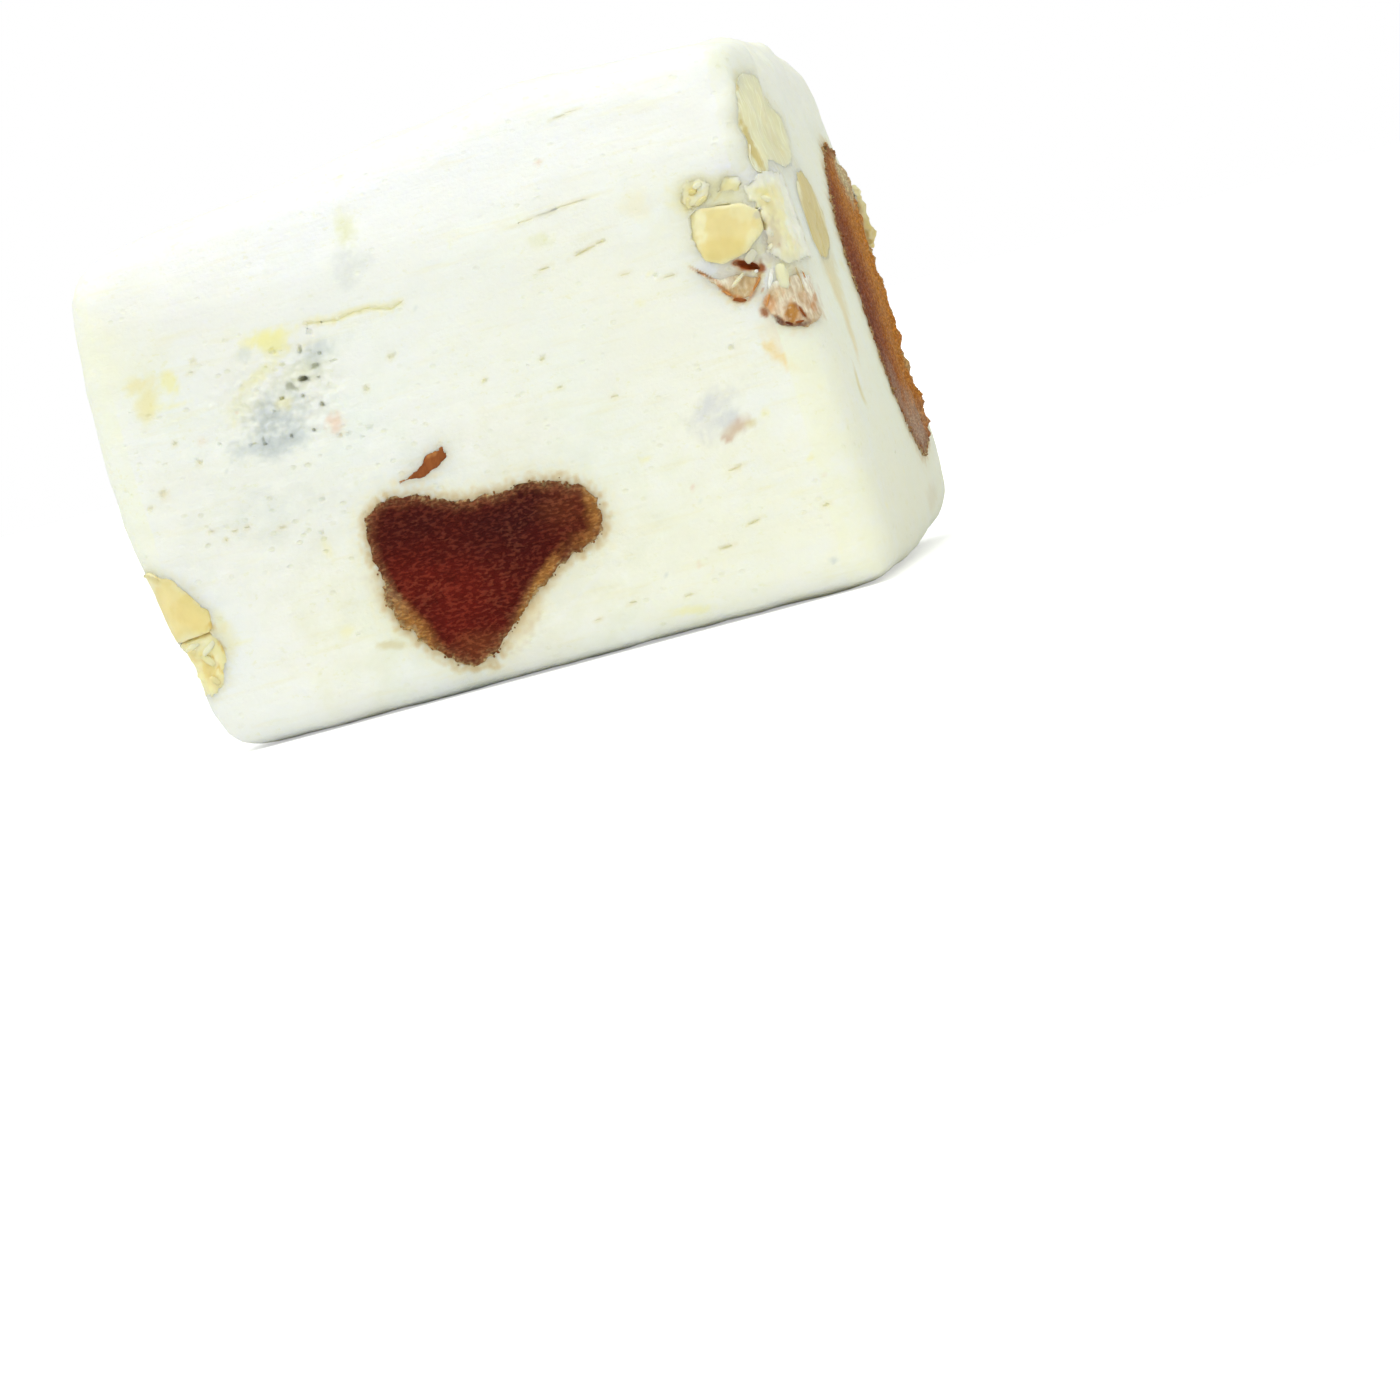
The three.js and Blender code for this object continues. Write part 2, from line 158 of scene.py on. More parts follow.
NUT_TONES = {
    "yellow": (0.88, 0.76, 0.37),
    "deep": (0.84, 0.69, 0.27),
    "butter": (0.94, 0.86, 0.46),
    "cream": (0.95, 0.90, 0.59),
    "beige": (0.86, 0.78, 0.41),
    "pale": (0.90, 0.865, 0.56),
    "tan": (0.72, 0.60, 0.265),
    "grey": (0.74, 0.70, 0.53),
    "lilac": (0.76, 0.67, 0.47),
    "orange": (0.80, 0.56, 0.13),
    "brown": (0.42, 0.20, 0.07),
    "white": (0.97, 0.96, 0.82),
}
SKIN_TONES = {
    "brown": (0.30, 0.085, 0.018),
    "dark": (0.13, 0.028, 0.008),
    "rust": (0.62, 0.265, 0.075),
    "amber": (0.50, 0.225, 0.050),
    "beige": (0.66, 0.49, 0.28),
    "lilac": (0.64, 0.46, 0.23),
    "pink": (0.93, 0.84, 0.64),
    "white": (0.97, 0.96, 0.84),
}

# ------------------------------------------------------------------ marks on the nougat
# (tint, across, up, half width, half height, turn in degrees, strength), millimetres on the face.
# A turn of 0 and a strength of 1 are left out at the end.
MARKS = {
    "front": (
        # The first white mark, along the top of the front, is a painted highlight where the upper band
        # leans back into the light from above.
        ("white", 0, 21.6, 18, 2.6, 1, 0.8), ("cream", 8.5, 11.5, 8, 7, 0, 0.35),
        ("cream", 8, 3, 9, 3.6, 0, 0.55), ("cream", -14.2, 17.4, 2.4, 1.7, -20, 0.7),
        ("fog", -8.2, 10.4, 4.4, 3.4, 25, 0.5), ("yellow", -6.75, 16.45, 1, 0.28, -3),
        ("yellow", -6.55, 16.1, 0.6, 0.36, -20, 0.9), ("yellow", -7.55, 15.05, 1.1, 0.24, 26, 0.45),
        ("honey", -12.45, 15.35, 0.46, 0.85, -22), ("honey", -12.8, 16, 0.45, 0.3, 0, 0.9),
        ("yellow", -11.35, 15.8, 0.34, 0.48, 10, 0.8), ("yellow", -11.6, 14.85, 0.8, 0.1, -6, 0.5),
        ("slate", -7.6, 13, 1.3, 0.8, 25, 0.9), ("slate", -7.4, 12.2, 1.3, 0.5, 0, 0.7),
        ("slate", -4.9, 15.05, 0.9, 0.45, 20, 0.8), ("olive", -8.75, 14, 0.7, 0.35, 20, 0.5),
        ("olive", -5.7, 14.6, 0.9, 0.4, 15, 0.5), ("rose", -4.9, 12.3, 0.3, 0.34, 0, 0.9),
        ("slate", -8.9, 9.35, 1.7, 0.8, 0, 0.2), ("mauve", -2.6, 18.3, 0.65, 0.55, 0, 0.75),
        ("olive", -2.3, 19.9, 0.38, 0.55, 0, 0.8), ("yellow", -6.75, 7.35, 0.16, 0.45, 12, 0.6),
        ("cream", -6.2, 4.2, 2.4, 2.6, 0, 0.55), ("yellow", -12.1, 5.6, 0.25, 0.5, 10, 0.5),
        ("yellow", -11.6, 4.6, 0.5, 0.12, -10, 0.4), ("orange", 13.55, 10.45, 0.3, 0.22, -30),
        ("orange", 13.9, 9.9, 0.5, 0.2, -46), ("orange", 14.4, 9.5, 0.55, 0.3, -30),
        ("orange", 9.75, 17.4, 0.5, 0.65, 0, 0.3), ("mauve", 10.75, 8.35, 0.95, 0.75, 15),
        ("rust", 11.45, 7.8, 0.5, 0.22, 24, 0.45), ("tan", 11.1, 7.6, 0.45, 0.25, 10, 0.45),
        ("rust", 10.85, 7.35, 0.2, 0.1, 0, 0.7), ("ochre", 11.9, 7.7, 0.22, 0.14, 0, 0.6),
        ("rose", 15, 6.85, 0.1, 0.12, 0, 0.8), ("rose", 8.9, 5.8, 0.09, 0.09, 0, 0.8),
        ("rose", 8.3, 2.7, 0.08, 0.08, 0, 0.9), ("rose", 6.3, 20.2, 0.14, 0.09, 0, 0.8),
        ("yellow", 8.9, 13.6, 0.22, 0.08, -5, 0.6), ("yellow", 7.4, 0.95, 0.8, 0.16, -8, 0.6),
        ("yellow", 14, 5.7, 0.3, 0.12, 10, 0.6), ("yellow", 7.3, 7.4, 0.3, 0.1, 10, 0.5),
        ("rose", 14.6, 10.6, 1.6, 0.7, 0, 0.2), ("orange", 14.4, 11, 1.3, 0.5, 0, 0.3),
        ("honey", 13.4, 16.2, 2.2, 1.8, 0, 0.35), ("honey", 12.3, 17.1, 0.75, 0.6, 0, 0.9),
        ("white", 14, 17.6, 0.9, 0.45, -30), ("yellow", 15.3, 15.3, 0.4, 1.7, 0, 0.5),
        ("orange", -13.4, 5.25, 1.2, 0.22, 2), ("honey", -12.2, 4.9, 0.5, 0.8, 0, 0.6),
        ("white", 2.95, 2.7, 1.5, 0.1, 32, 0.4), ("ochre", -5.2, 2.82, 0.65, 0.17, -14, 0.75),
        # The shade mark on the next line is painted shade on the nougat round the dark jelly.
        ("shade", -0.4, 5, 5.7, 4.1, 12, 0.3), ("caramel", -4.6, 4.1, 1.4, 0.42, -60, 0.5),
        ("caramel", 0.7, 2.4, 1.3, 0.36, 48, 0.5),
    ),
    "right": (
        # On the right face, the straw over the whole face is painted reflected light, the yellow thrown
        # back onto it. The white at its top is a painted highlight where the rounded upper edge takes the
        # light from above.
        ("straw", 0, 10, 16, 16), ("white", 1, 22.5, 6, 2.5, 0, 0.4), ("cream", 0, 3.5, 11, 5, 0, 0.6),
        ("cream", 6, 5, 7, 5, 0, 0.55), ("syrup", -4.8, 12.9, 1.1, 0.9, 0, 0.9),
        ("syrup", -4.8, 11.9, 0.85, 0.9, 3, 0.9), ("syrup", -4.85, 10.8, 0.55, 1, 3, 0.9),
        ("syrup", -4.9, 9.7, 0.34, 0.8, -8, 0.8), ("ochre", -6.5, 7.9, 0.22, 0.8, 4, 0.8),
        ("rust", -8.3, 12, 0.1, 0.45, -5, 0.45), ("rust", -8.6, 11.2, 0.1, 0.3, -5, 0.45),
        ("tan", 3.5, 2.2, 1.6, 0.5, 10, 0.25),
    ),
    "back": (("straw", 0, 10, 18, 14, 0, 0.8),),
    "left": (("straw", 0, 10, 14, 14, 0, 0.8),),
    "top": (("straw", 0, 3, 18, 10, 0, 0.5),),
}

# Open holes in the front: (across, up, half width, half height, turn, depth).
HOLES = (
    (-5.72, 14.42, 0.24, 0.12, -4, 0.35), (-5.1, 14.31, 0.08, 0.07, 0, 0.2),
    (-6.41, 14.27, 0.22, 0.2, 0, 0.2), (-6.87, 13.87, 0.15, 0.09, 0, 0.2),
    (-6.15, 14.05, 0.12, 0.1, 0, 0.15), (-5.95, 13.75, 0.11, 0.08, 30, 0.2),
    (-5.25, 13.19, 0.14, 0.12, 0, 0.25), (-5.9, 12.27, 0.1, 0.1, 0, 0.2),
    (-6.9, 12.29, 0.09, 0.11, 0, 0.2), (-8.11, 12.47, 0.07, 0.12, 0, 0.2),
    (-8.6, 12.38, 0.2, 0.06, 8, 0.15), (-8.1, 12.24, 0.12, 0.07, 0, 0.2),
    (-5.1, 14.8, 0.26, 0.13, 12, 0.2), (-4.26, 14.8, 0.22, 0.07, 8, 0.15),
    (-5.52, 15.6, 0.12, 0.2, -20, 0.2), (-6.44, 15.22, 0.18, 0.1, 5, 0.15),
    (-7.35, 13.45, 0.1, 0.08, 0, 0.12), (-4.75, 15.25, 0.15, 0.1, 0, 0.15),
)

# Slits that the blade dragged open, coloured like dried syrup, by face: as the holes.
SLITS = {
    "front": (
        (5.4, 16, 0.35, 0.05, 8, 0.12), (7.25, 16.25, 0.6, 0.07, 12, 0.15), (8, 16.42, 0.22, 0.06, 5, 0.12),
        (8.6, 14.9, 0.3, 0.04, 0, 0.09), (10.3, 14.3, 0.4, 0.04, 3, 0.09),
        (4.3, 12.5, 0.16, 0.08, 20, 0.12), (1.75, 12.3, 0.14, 0.12, 40, 0.12),
        (4.7, 11.2, 0.15, 0.07, 0, 0.09), (6.8, 10.25, 0.2, 0.05, 0, 0.09),
        (10.8, 6.1, 0.45, 0.06, 6, 0.12), (9.5, 3.1, 0.4, 0.06, 4, 0.12), (10.95, 3.8, 0.3, 0.06, 10, 0.12),
        (14, 3.7, 0.2, 0.07, 10, 0.12), (5.1, 1.9, 0.25, 0.05, 12, 0.09), (7.5, 1.6, 0.22, 0.06, 12, 0.09),
        (3.5, 1.6, 0.2, 0.05, 12, 0.09), (-10.36, 15.95, 0.22, 0.05, -4, 0.09),
        (-10.07, 16.37, 0.12, 0.12, 0, 0.072), (-11.85, 13.29, 0.12, 0.08, 30, 0.12),
        (-11.02, 12.23, 0.1, 0.08, 0, 0.12), (-12.91, 11.39, 0.16, 0.2, -20, 0.09),
        (-13.68, 10.95, 0.14, 0.08, 0, 0.072), (-9.82, 9.13, 0.14, 0.06, 10, 0.09),
        (-10.4, 9.11, 0.16, 0.06, 8, 0.09), (-10.85, 8.85, 0.12, 0.07, 0, 0.09),
        (-8.33, 8.73, 0.2, 0.07, 8, 0.09), (-11.38, 9.34, 0.22, 0.04, 5, 0.072),
        (-3.2, 13.3, 0.12, 0.14, 0, 0.12), (-1.8, 14.3, 0.22, 0.12, 20, 0.09),
        (7.8, 21.8, 0.9, 0.04, 7, 0.09), (6.9, 18.22, 1.6, 0.05, 3, 0.09), (5, 18.05, 0.8, 0.04, 3, 0.072),
    ),
    "right": ((-8.15, 18.4, 0.12, 1.3, 6, 0.21),),
}
CRACK = ((-4.85, 16.55), (-3.77, 16.35), (-3.13, 16.42), (-2.2, 16.46), (-1.36, 16.18), (-0.82, 16.27))
CAVITY = (13.55, 13.88, 0.62, 0.17, -27, 0.45)

# ------------------------------------------------------------------ pieces in the nougat
# By CAD node: (face, tone of the whole, marks as on the nougat).
JELLIES = {
    "jelly_front": ("front", "core", (
        ("red", -1.9, 3.8, 1.8, 1.6, 30, 0.9), ("red", -3.2, 5.2, 1.2, 1, 0, 0.6),
        ("dark", 1.6, 6.6, 2.3, 1, 15, 0.6), ("dark", -2.6, 7.6, 2, 0.7, 0, 0.4),
        ("brown", 3.5, 6.4, 1, 0.7, 20, 0.4), ("brown", -1.7, 1.9, 0.8, 0.5, 0, 0.6),
        ("amber", 1.5, 3.55, 1.9, 0.28, 45, 0.8), ("amber", 4.1, 5.35, 0.75, 0.5, 40, 0.75),
        ("amber", -4.1, 3.4, 0.5, 1.3, 30, 0.9), ("amber", 4.8, 6.4, 0.5, 0.8, 0, 0.8),
        ("grain", -4.7, 4.7, 0.3, 1, 20, 0.7),
    )),
    "jelly_side": ("right", "toffee", (
        ("brown", -0.6, 11.5, 2.5, 7.5), ("glow", 6.3, 12, 3, 7.5),
        ("pale", 6.2, 16.6, 1.9, 1.2, -20, 0.9), ("frost", 3.4, 4.8, 2.8, 1.7, 0, 0.9),
        ("frost", 0.6, 6.8, 1, 1.6, 20, 0.5), ("core", -0.8, 10, 0.5, 3, 6, 0.4),
        ("crust", 8.8, 11, 0.7, 7, 0, 0.7),
    )),
    "jelly_back": ("back", "core", (
        ("red", 2.4, 12, 3.4, 2.2, 0, 0.8), ("dark", -0.6, 11, 1.6, 1.4, 0, 0.5),
    )),
    "jelly_left": ("left", "core", (("red", -3.8, 7.4, 1.8, 1.2, 0, 0.8),)),
}
NUTS = {
    "nut_corner": ("front", "yellow", (
        ("deep", 12.8, 14.8, 1.5, 0.45, 0, 0.7), ("cream", 14.1, 16, 0.6, 0.4, 0, 0.5),
        ("cream", 12.15, 15.95, 0.28, 0.7, -12, 0.8), ("cream", 14.2, 14.9, 0.4, 0.3, 30, 0.5),
        ("grey", 14.5, 15.72, 0.16, 0.14, 30, 0.9),
    )),
    "nut_corner_flesh": ("front", "cream", (
        ("lilac", 14.7, 14.7, 0.42, 0.95, 8, 0.7), ("lilac", 14.4, 13.9, 0.6, 0.35, 0, 0.8),
        ("butter", 15.35, 15.6, 0.3, 1.5, 5, 0.8), ("white", 14.3, 17.2, 0.8, 0.5, -30, 0.9),
        ("cream", 14.95, 13.65, 0.3, 0.5, 10, 0.9),
    )),
    "nut_corner_shard": ("front", "beige", (
        ("deep", 13.2, 16.9, 0.4, 0.2, 40, 0.4), ("white", 14.1, 17.6, 0.6, 0.35, -30, 0.9),
    )),
    "nut_corner_crumb": ("front", "butter", (("cream", 12.5, 17.5, 0.5, 0.25, 30, 0.8),)),
    "nut_left_upper": ("front", "yellow", (
        ("deep", -13.3, 6.2, 0.8, 0.6, -40, 0.7), ("deep", -13.3, 6.95, 0.25, 0.28, 40, 0.8),
        ("orange", -12.45, 5.45, 0.28, 0.35, 10, 0.9), ("cream", -14.9, 7.8, 0.35, 0.35, 0, 0.6),
        ("deep", -14.1, 7.9, 0.5, 0.18, -20, 0.6),
    )),
    "nut_left_lower": ("front", "butter", (
        ("orange", -12.25, 4.5, 0.22, 0.3, 0, 0.8), ("deep", -13.3, 3.75, 0.4, 0.35, -20, 0.9),
        ("orange", -12.9, 4, 0.1, 0.45, 20, 0.8), ("yellow", -13.1, 3.2, 0.5, 0.3, -30, 0.8),
        ("yellow", -13.9, 4.5, 0.4, 0.3, 0, 0.6),
    )),
    "nut_edge": ("right", "pale", (
        ("cream", -9.3, 19.6, 0.6, 2, 0, 0.6), ("tan", -6.6, 18.6, 0.8, 1.4, 0, 0.15),
        ("tan", -9.95, 18.4, 0.22, 1.1, 4), ("orange", -9.6, 20.9, 0.3, 0.16, 0, 0.6),
    )),
    "nut_side": ("right", "tan", (
        ("cream", -6.1, 16.5, 0.6, 0.7, 20, 0.9), ("cream", -2.9, 14.6, 0.3, 1.8, 6, 0.6),
    )),
    "nut_side_bit": ("right", "tan", (
        ("cream", 9.6, 15.8, 0.9, 0.7, 0, 0.7), ("deep", 9.2, 13.2, 1.2, 0.5, 0, 0.6),
    )),
    "nut_back_kernel": ("back", "beige", (
        ("cream", -9.4, 18.2, 0.9, 0.9, 0, 0.7), ("tan", -9.6, 15, 0.7, 1.2, 10, 0.6),
    )),
    "nut_back_chunk": ("back", "yellow", (
        ("deep", -8.4, 5.2, 1.3, 0.9, 20, 0.8), ("orange", -6, 6.9, 0.7, 0.4, -30, 0.7),
        ("cream", -7, 7.2, 1, 0.6, 20, 0.7),
    )),
    "nut_back_chip": ("back", "yellow", (("orange", 10.4, 6.6, 0.5, 0.4, 0, 0.7),)),
    "nut_left_chunk": ("left", "yellow", (
        ("deep", 4.6, 13, 1.4, 1.2, 30, 0.8), ("cream", 2.6, 14.8, 1, 0.9, 0, 0.8),
        ("orange", 5.6, 14.9, 0.5, 0.6, 20, 0.6), ("brown", 3.6, 11.1, 1.4, 0.12, 5, 0.5),
    )),
    "nut_top": ("top", "beige", (
        ("tan", 3.6, 3.6, 1.8, 0.7, 20, 0.6), ("cream", 1.2, 2.9, 0.9, 0.6, 20, 0.7),
    )),
    "nut_top_chip": ("top", "yellow", (("orange", -7.4, -3.2, 0.5, 0.4, 0, 0.6),)),
    "nut_base": ("base", "beige", (("deep", -5, 4.6, 1.2, 0.8, 20, 0.6),)),
}
SKINS = {
    "skin_upper": ("front", "lilac", (
        ("pink", 12.3, 13.9, 0.9, 0.42, -35), ("white", 11.9, 14.4, 0.5, 0.2, -35, 0.8),
        ("rust", 13.6, 12.9, 0.6, 0.14, 45, 0.7), ("rust", 12.6, 12.8, 0.4, 0.12, -25, 0.7),
        ("brown", 13.1, 12.6, 0.2, 0.1, 0, 0.8), ("beige", 13.4, 13.3, 0.4, 0.3, 30, 0.8),
    )),
    "skin_lower": ("front", "beige", (
        ("white", 14.3, 13.1, 0.8, 0.5, 20, 0.9), ("white", 15.35, 12.9, 0.35, 0.7, 0, 0.8),
        ("pink", 15.4, 11.9, 0.25, 0.6, 0, 0.6), ("rust", 14.05, 11.9, 0.4, 0.4, 0, 0.5),
        ("amber", 14.75, 11.55, 0.34, 0.5, -10), ("brown", 13.75, 12.1, 0.12, 0.5, -25, 0.7),
        ("dark", 14.4, 11.15, 0.45, 0.12, -35, 0.9), ("dark", 14.9, 10.95, 0.4, 0.1, 0, 0.8),
    )),
    "sliver": ("front", "brown", (
        ("rust", -1.1, 10.1, 0.4, 0.14, 30, 0.6), ("dark", -1.9, 9.6, 0.3, 0.1, 30, 0.3),
        ("rust", -2.7, 9.3, 0.4, 0.08, 20, 0.6),
    )),
    "skin_left": ("left", "brown", (
        ("dark", 2.4, 9.9, 1.2, 0.3, 0, 0.6), ("rust", 4.1, 10.1, 0.6, 0.3, 0, 0.6),
    )),
}
SUNK_CLUSTER = ("nut_corner_flesh", "nut_corner_crumb", "nut_corner_shard", "nut_left_lower")
SHARP_NUTS = ("nut_corner_flesh", "nut_corner_crumb", "nut_left_lower", "nut_side_bit", "nut_back_chunk")
KERNELS = ("nut_edge", "nut_side", "nut_back_kernel", "nut_top", "nut_base")
FLUSH = KERNELS + (
    "jelly_front", "jelly_back", "jelly_left", "nut_back_chip", "nut_top_chip", "nut_left_chunk",
    "nut_corner_flesh", "nut_corner_shard", "nut_corner_crumb", "nut_left_upper", "nut_left_lower",
    "skin_upper", "skin_lower",
)
# Planes that trim a nut: a point on each and the way out, millimetres.
BEVELS = {
    "nut_corner": (
        ((12.4, -10.95, 16.0), (-0.33, -0.94, 0.06)), ((13.3, -10.9, 16.42), (0.18, 0.0, 0.98)),
        ((14.2, -10.9, 14.8), (0.65, 0.0, -0.76)),
    ),
    "nut_edge": (
        ((14.55, -10.3, 19.4), (-0.985, -0.05, -0.16)), ((14.60, -10.3, 19.8), (-0.97, -0.05, 0.22)),
    ),
}

# Joined to a piece where it spreads out: (face, across, up, half width, half height, half depth).
GROWN = {
    "nut_edge": (("right", -9.75, 18.0, 0.65, 0.85, 0.5),),
    "jelly_front": (
        ("front", -4.5, 4.8, 0.45, 0.7, 0.5), ("front", -4.15, 3.95, 0.6, 0.7, 0.5),
        ("front", -3.5, 2.95, 0.6, 0.6, 0.5),
    ),
    "nut_left_upper": (("front", -14.75, 8.0, 0.45, 0.30, 0.5),),
}
SWOLLEN = {  # mm that a piece is thicker all round, so that it meets its neighbours
    "nut_corner_flesh": 0.10, "nut_corner_crumb": 0.18, "nut_corner_shard": 0.12,
    "nut_left_upper": 0.10, "nut_left_lower": 0.14, "nut_side_bit": 0.12,
}

# Colours that run over the broken nuts on the front and the nougat between them:
# (tone, across, up, half length, half width, turn, strength).
NUT_PATCHES = (
    ("cream", 13.4, 16.75, 1.85, 0.75, -15, 0.7), ("butter", 12.2, 17.2, 0.6, 0.5, -15),
    ("cream", 12.2, 17.2, 0.35, 0.3, -15, 0.6), ("white", 12.65, 17.4, 0.22, 0.16, 0, 0.9),
    ("white", 12.47, 17.08, 0.24, 0.1, 5, 0.8), ("deep", 12.2, 17.38, 0.2, 0.1, -15, 0.8),
    ("yellow", 11.85, 16.95, 0.17, 0.32, -10, 0.9), ("yellow", 12.25, 16.82, 0.52, 0.14, 12, 0.9),
    ("beige", 13.7, 16.95, 0.8, 0.55, -12, 0.9), ("cream", 14.25, 16.68, 0.48, 0.36, -15, 0.7),
    ("tan", 13, 16.55, 0.55, 0.06, -10, 0.6), ("deep", 13.2, 16.92, 0.45, 0.06, 43, 0.5),
    ("white", 14.8, 17.2, 0.85, 0.38, -15, 0.95), ("butter", 15.1, 16.4, 0.5, 0.28, -20, 0.9),
    ("butter", 15.4, 15.2, 1.3, 0.26, -88, 0.9), ("cream", 15, 15.4, 0.7, 0.25, -89, 0.8),
    ("yellow", 14.9, 16.1, 0.24, 0.14, -15, 0.8), ("yellow", 15.45, 14.4, 0.35, 0.14, -91, 0.7),
    ("beige", 15.05, 15.75, 0.33, 0.15, -91, 0.6), ("lilac", 14.7, 14.5, 1, 0.34, -100, 0.8),
    ("white", 14.75, 14.95, 0.17, 0.13, -75, 0.8), ("white", 14.4, 14, 0.24, 0.18, -15, 0.8),
    ("white", 14.75, 14, 0.28, 0.17, -96, 0.8), ("lilac", 14.5, 13.9, 0.35, 0.2, -20, 0.6),
    ("brown", 14.5, 15.72, 0.08, 0.06, -15, 0.9), ("brown", 14.95, 14.35, 0.1, 0.05, -96, 0.4),
    ("grey", 13.8, 14.1, 0.42, 0.26, -25, 0.9), ("cream", 14.74, 13.1, 0.66, 0.32, 88, 0.95),
    ("yellow", 14.8, 13.1, 0.28, 0.1, 88, 0.6), ("orange", -13.6, 5.27, 0.75, 0.1, 3, 0.9),
    ("orange", -12.85, 5.4, 0.4, 0.16, 10, 0.9), ("orange", -12.6, 5.75, 0.35, 0.08, 78, 0.8),
    ("orange", -12.45, 4.7, 0.28, 0.12, -70, 0.7), ("cream", -13.4, 4.85, 0.6, 0.14, 20, 0.8),
    ("deep", -13.3, 4.2, 0.35, 0.2, -50, 0.6), ("cream", -12.85, 4.1, 0.3, 0.12, 60, 0.7),
    ("deep", -14, 4.5, 0.3, 0.2, -50, 0.5),
)
SKIN_PATCHES = (
    ("white", 11.95, 14.25, 0.75, 0.24, -42), ("pink", 12.7, 13.7, 0.48, 0.34, -37, 0.9),
    ("lilac", 13.3, 13.2, 0.55, 0.45, -37, 0.7), ("rust", 11.75, 13.98, 0.58, 0.06, -43, 0.9),
    ("rust", 12.35, 13.15, 0.38, 0.09, -55, 0.9), ("rust", 12.85, 12.62, 0.36, 0.12, -22, 0.9),
    ("rust", 13.4, 12.7, 0.28, 0.08, 42, 0.8), ("rust", 13.85, 13.25, 0.34, 0.09, 50, 0.8),
    ("white", 13, 13.41, 0.38, 0.08, 33, 0.9), ("brown", 14.02, 13.62, 0.27, 0.14, 65, 0.9),
    ("pink", 14.7, 12, 1.1, 0.85, -35, 0.6), ("white", 14.3, 13.2, 0.6, 0.2, 58, 0.9),
    ("rust", 13.95, 12.1, 0.48, 0.28, 53, 0.65), ("brown", 13.7, 11.85, 0.2, 0.12, -75, 0.8),
    ("dark", 14.2, 11.42, 0.27, 0.12, -55, 0.9), ("dark", 14.7, 11.1, 0.42, 0.08, -10, 0.8),
    ("amber", 14.74, 11.55, 0.42, 0.26, 85), ("brown", 15.1, 11.5, 0.42, 0.07, -70, 0.85),
    ("amber", 15.3, 11.95, 0.42, 0.16, -80, 0.6), ("rust", 15.5, 11.5, 0.2, 0.07, 84, 0.7),
    ("rust", 15.6, 11.9, 0.2, 0.05, 84, 0.7), ("lilac", 15.2, 12.7, 0.6, 0.16, 90, 0.5),
    ("lilac", 14.35, 12.55, 0.33, 0.3, 0, 0.5), ("rust", 13.85, 12.75, 0.1, 0.05, 40, 0.6),
)

# Crumbs, splinters and fibres that stand up there:
# (tone, across, up, half length, half width, turn, lift).
NUT_FLAKES = (
    ("cream", 12.48, 17.5, 0.2, 0.12, 10, 0), ("deep", 12.22, 17.3, 0.16, 0.1, 0, 0),
    ("yellow", 11.95, 16.9, 0.22, 0.12, 85, 0), ("yellow", 12.45, 16.86, 0.3, 0.1, 22, 0),
    ("cream", 14.9, 16.25, 0.22, 0.13, -25, 0), ("cream", 14.62, 14.35, 0.14, 0.08, 30, -0.02),
    ("cream", 14.8, 14.8, 0.1, 0.07, 60, -0.02), ("grey", 13.8, 14.2, 0.32, 0.2, 35, -0.03),
    ("cream", 13, 13.41, 0.36, 0.07, 33, 0.06), ("cream", 14.74, 13.1, 0.52, 0.25, 88, 0.02),
    ("white", 13.83, 13.55, 0.08, 0.06, 0, 0.04), ("cream", -13.7, 4.92, 0.36, 0.12, 14, 0),
    ("cream", -13, 4.7, 0.4, 0.13, 34, 0), ("butter", -13.2, 4.2, 0.36, 0.16, -50, 0),
    ("yellow", -13.15, 3.3, 0.26, 0.13, -50, 0),
)
SKIN_FLAKES = (
    ("rust", 12.42, 13.02, 0.2, 0.05, -45, 0.02), ("brown", 12.85, 12.62, 0.26, 0.07, -20, 0.02),
    ("rust", 13.7, 13.05, 0.3, 0.05, 46, 0.02), ("dark", 14.45, 11.22, 0.25, 0.05, -30, 0.02),
    ("brown", 14.8, 11.12, 0.3, 0.05, -3, 0.02), ("brown", 15.1, 11.5, 0.26, 0.04, -70, 0.02),
    ("rust", 13.98, 12.3, 0.25, 0.04, 58, 0.02), ("white", 14.3, 13.1, 0.42, 0.08, 65, 0),
    ("lilac", 15.3, 12.8, 0.5, 0.04, -86, 0), ("rust", 15.45, 12.9, 0.14, 0.025, -80, 0.04),
)

# Pores and stains at random: (face, low corner, high corner, count, seed).
RANDOM_PORES = (
    ("front", (-13.5, 7.5), (-3.5, 16.5), 14, 3), ("front", (-13, 2), (14.5, 17.5), 8, 4),
    ("back", (-13, 2), (13, 20), 26, 5), ("left", (-9, 3), (9, 18), 16, 6),
    ("right", (-9, 2), (9, 20), 8, 7), ("top", (-12, -8), (13, 8), 10, 8),
)
RANDOM_STAINS = (
    ("front", (-14, 1), (15, 19), 40, 21), ("back", (-14, 1), (14, 21), 60, 22),
    ("left", (-9, 1), (9, 19), 40, 23), ("right", (-9, 1), (9, 20), 25, 24),
    ("top", (-13, -8), (13, 8), 30, 25), ("base", (-13, -8), (13, 8), 30, 26),
)
FLAKE_SEED = 11
# Painted shade: holes deeper than this are painted dark inside, the deeper the darker.
PORE_DEPTH = 0.14  # mm from which a hole is dark inside, and the deeper the darker

# Stains on the nougat round what lies in it: (tint, reach, strength).
HALOS = {
    "jelly": (("honey", 0.9, 0.5), ("caramel", 0.35, 0.75)),
    "nut": (("honey", 0.5, 0.5),),
    "skin": (("orange", 0.4, 0.4),),
    "nut_flakes": (("honey", 0.35, 0.9),),
    "skin_flakes": (("orange", 0.25, 0.5),),
}


# ------------------------------------------------------------------ small tools
def only(*objects):
    """Selects these objects alone, the first one active."""
    if bpy.context.object and bpy.context.object.mode != "OBJECT":
        bpy.ops.object.mode_set(mode="OBJECT")
    bpy.ops.object.select_all(action="DESELECT")
    for obj in objects:
        obj.select_set(True)
    bpy.context.view_layer.objects.active = objects[0]
    return objects[0]


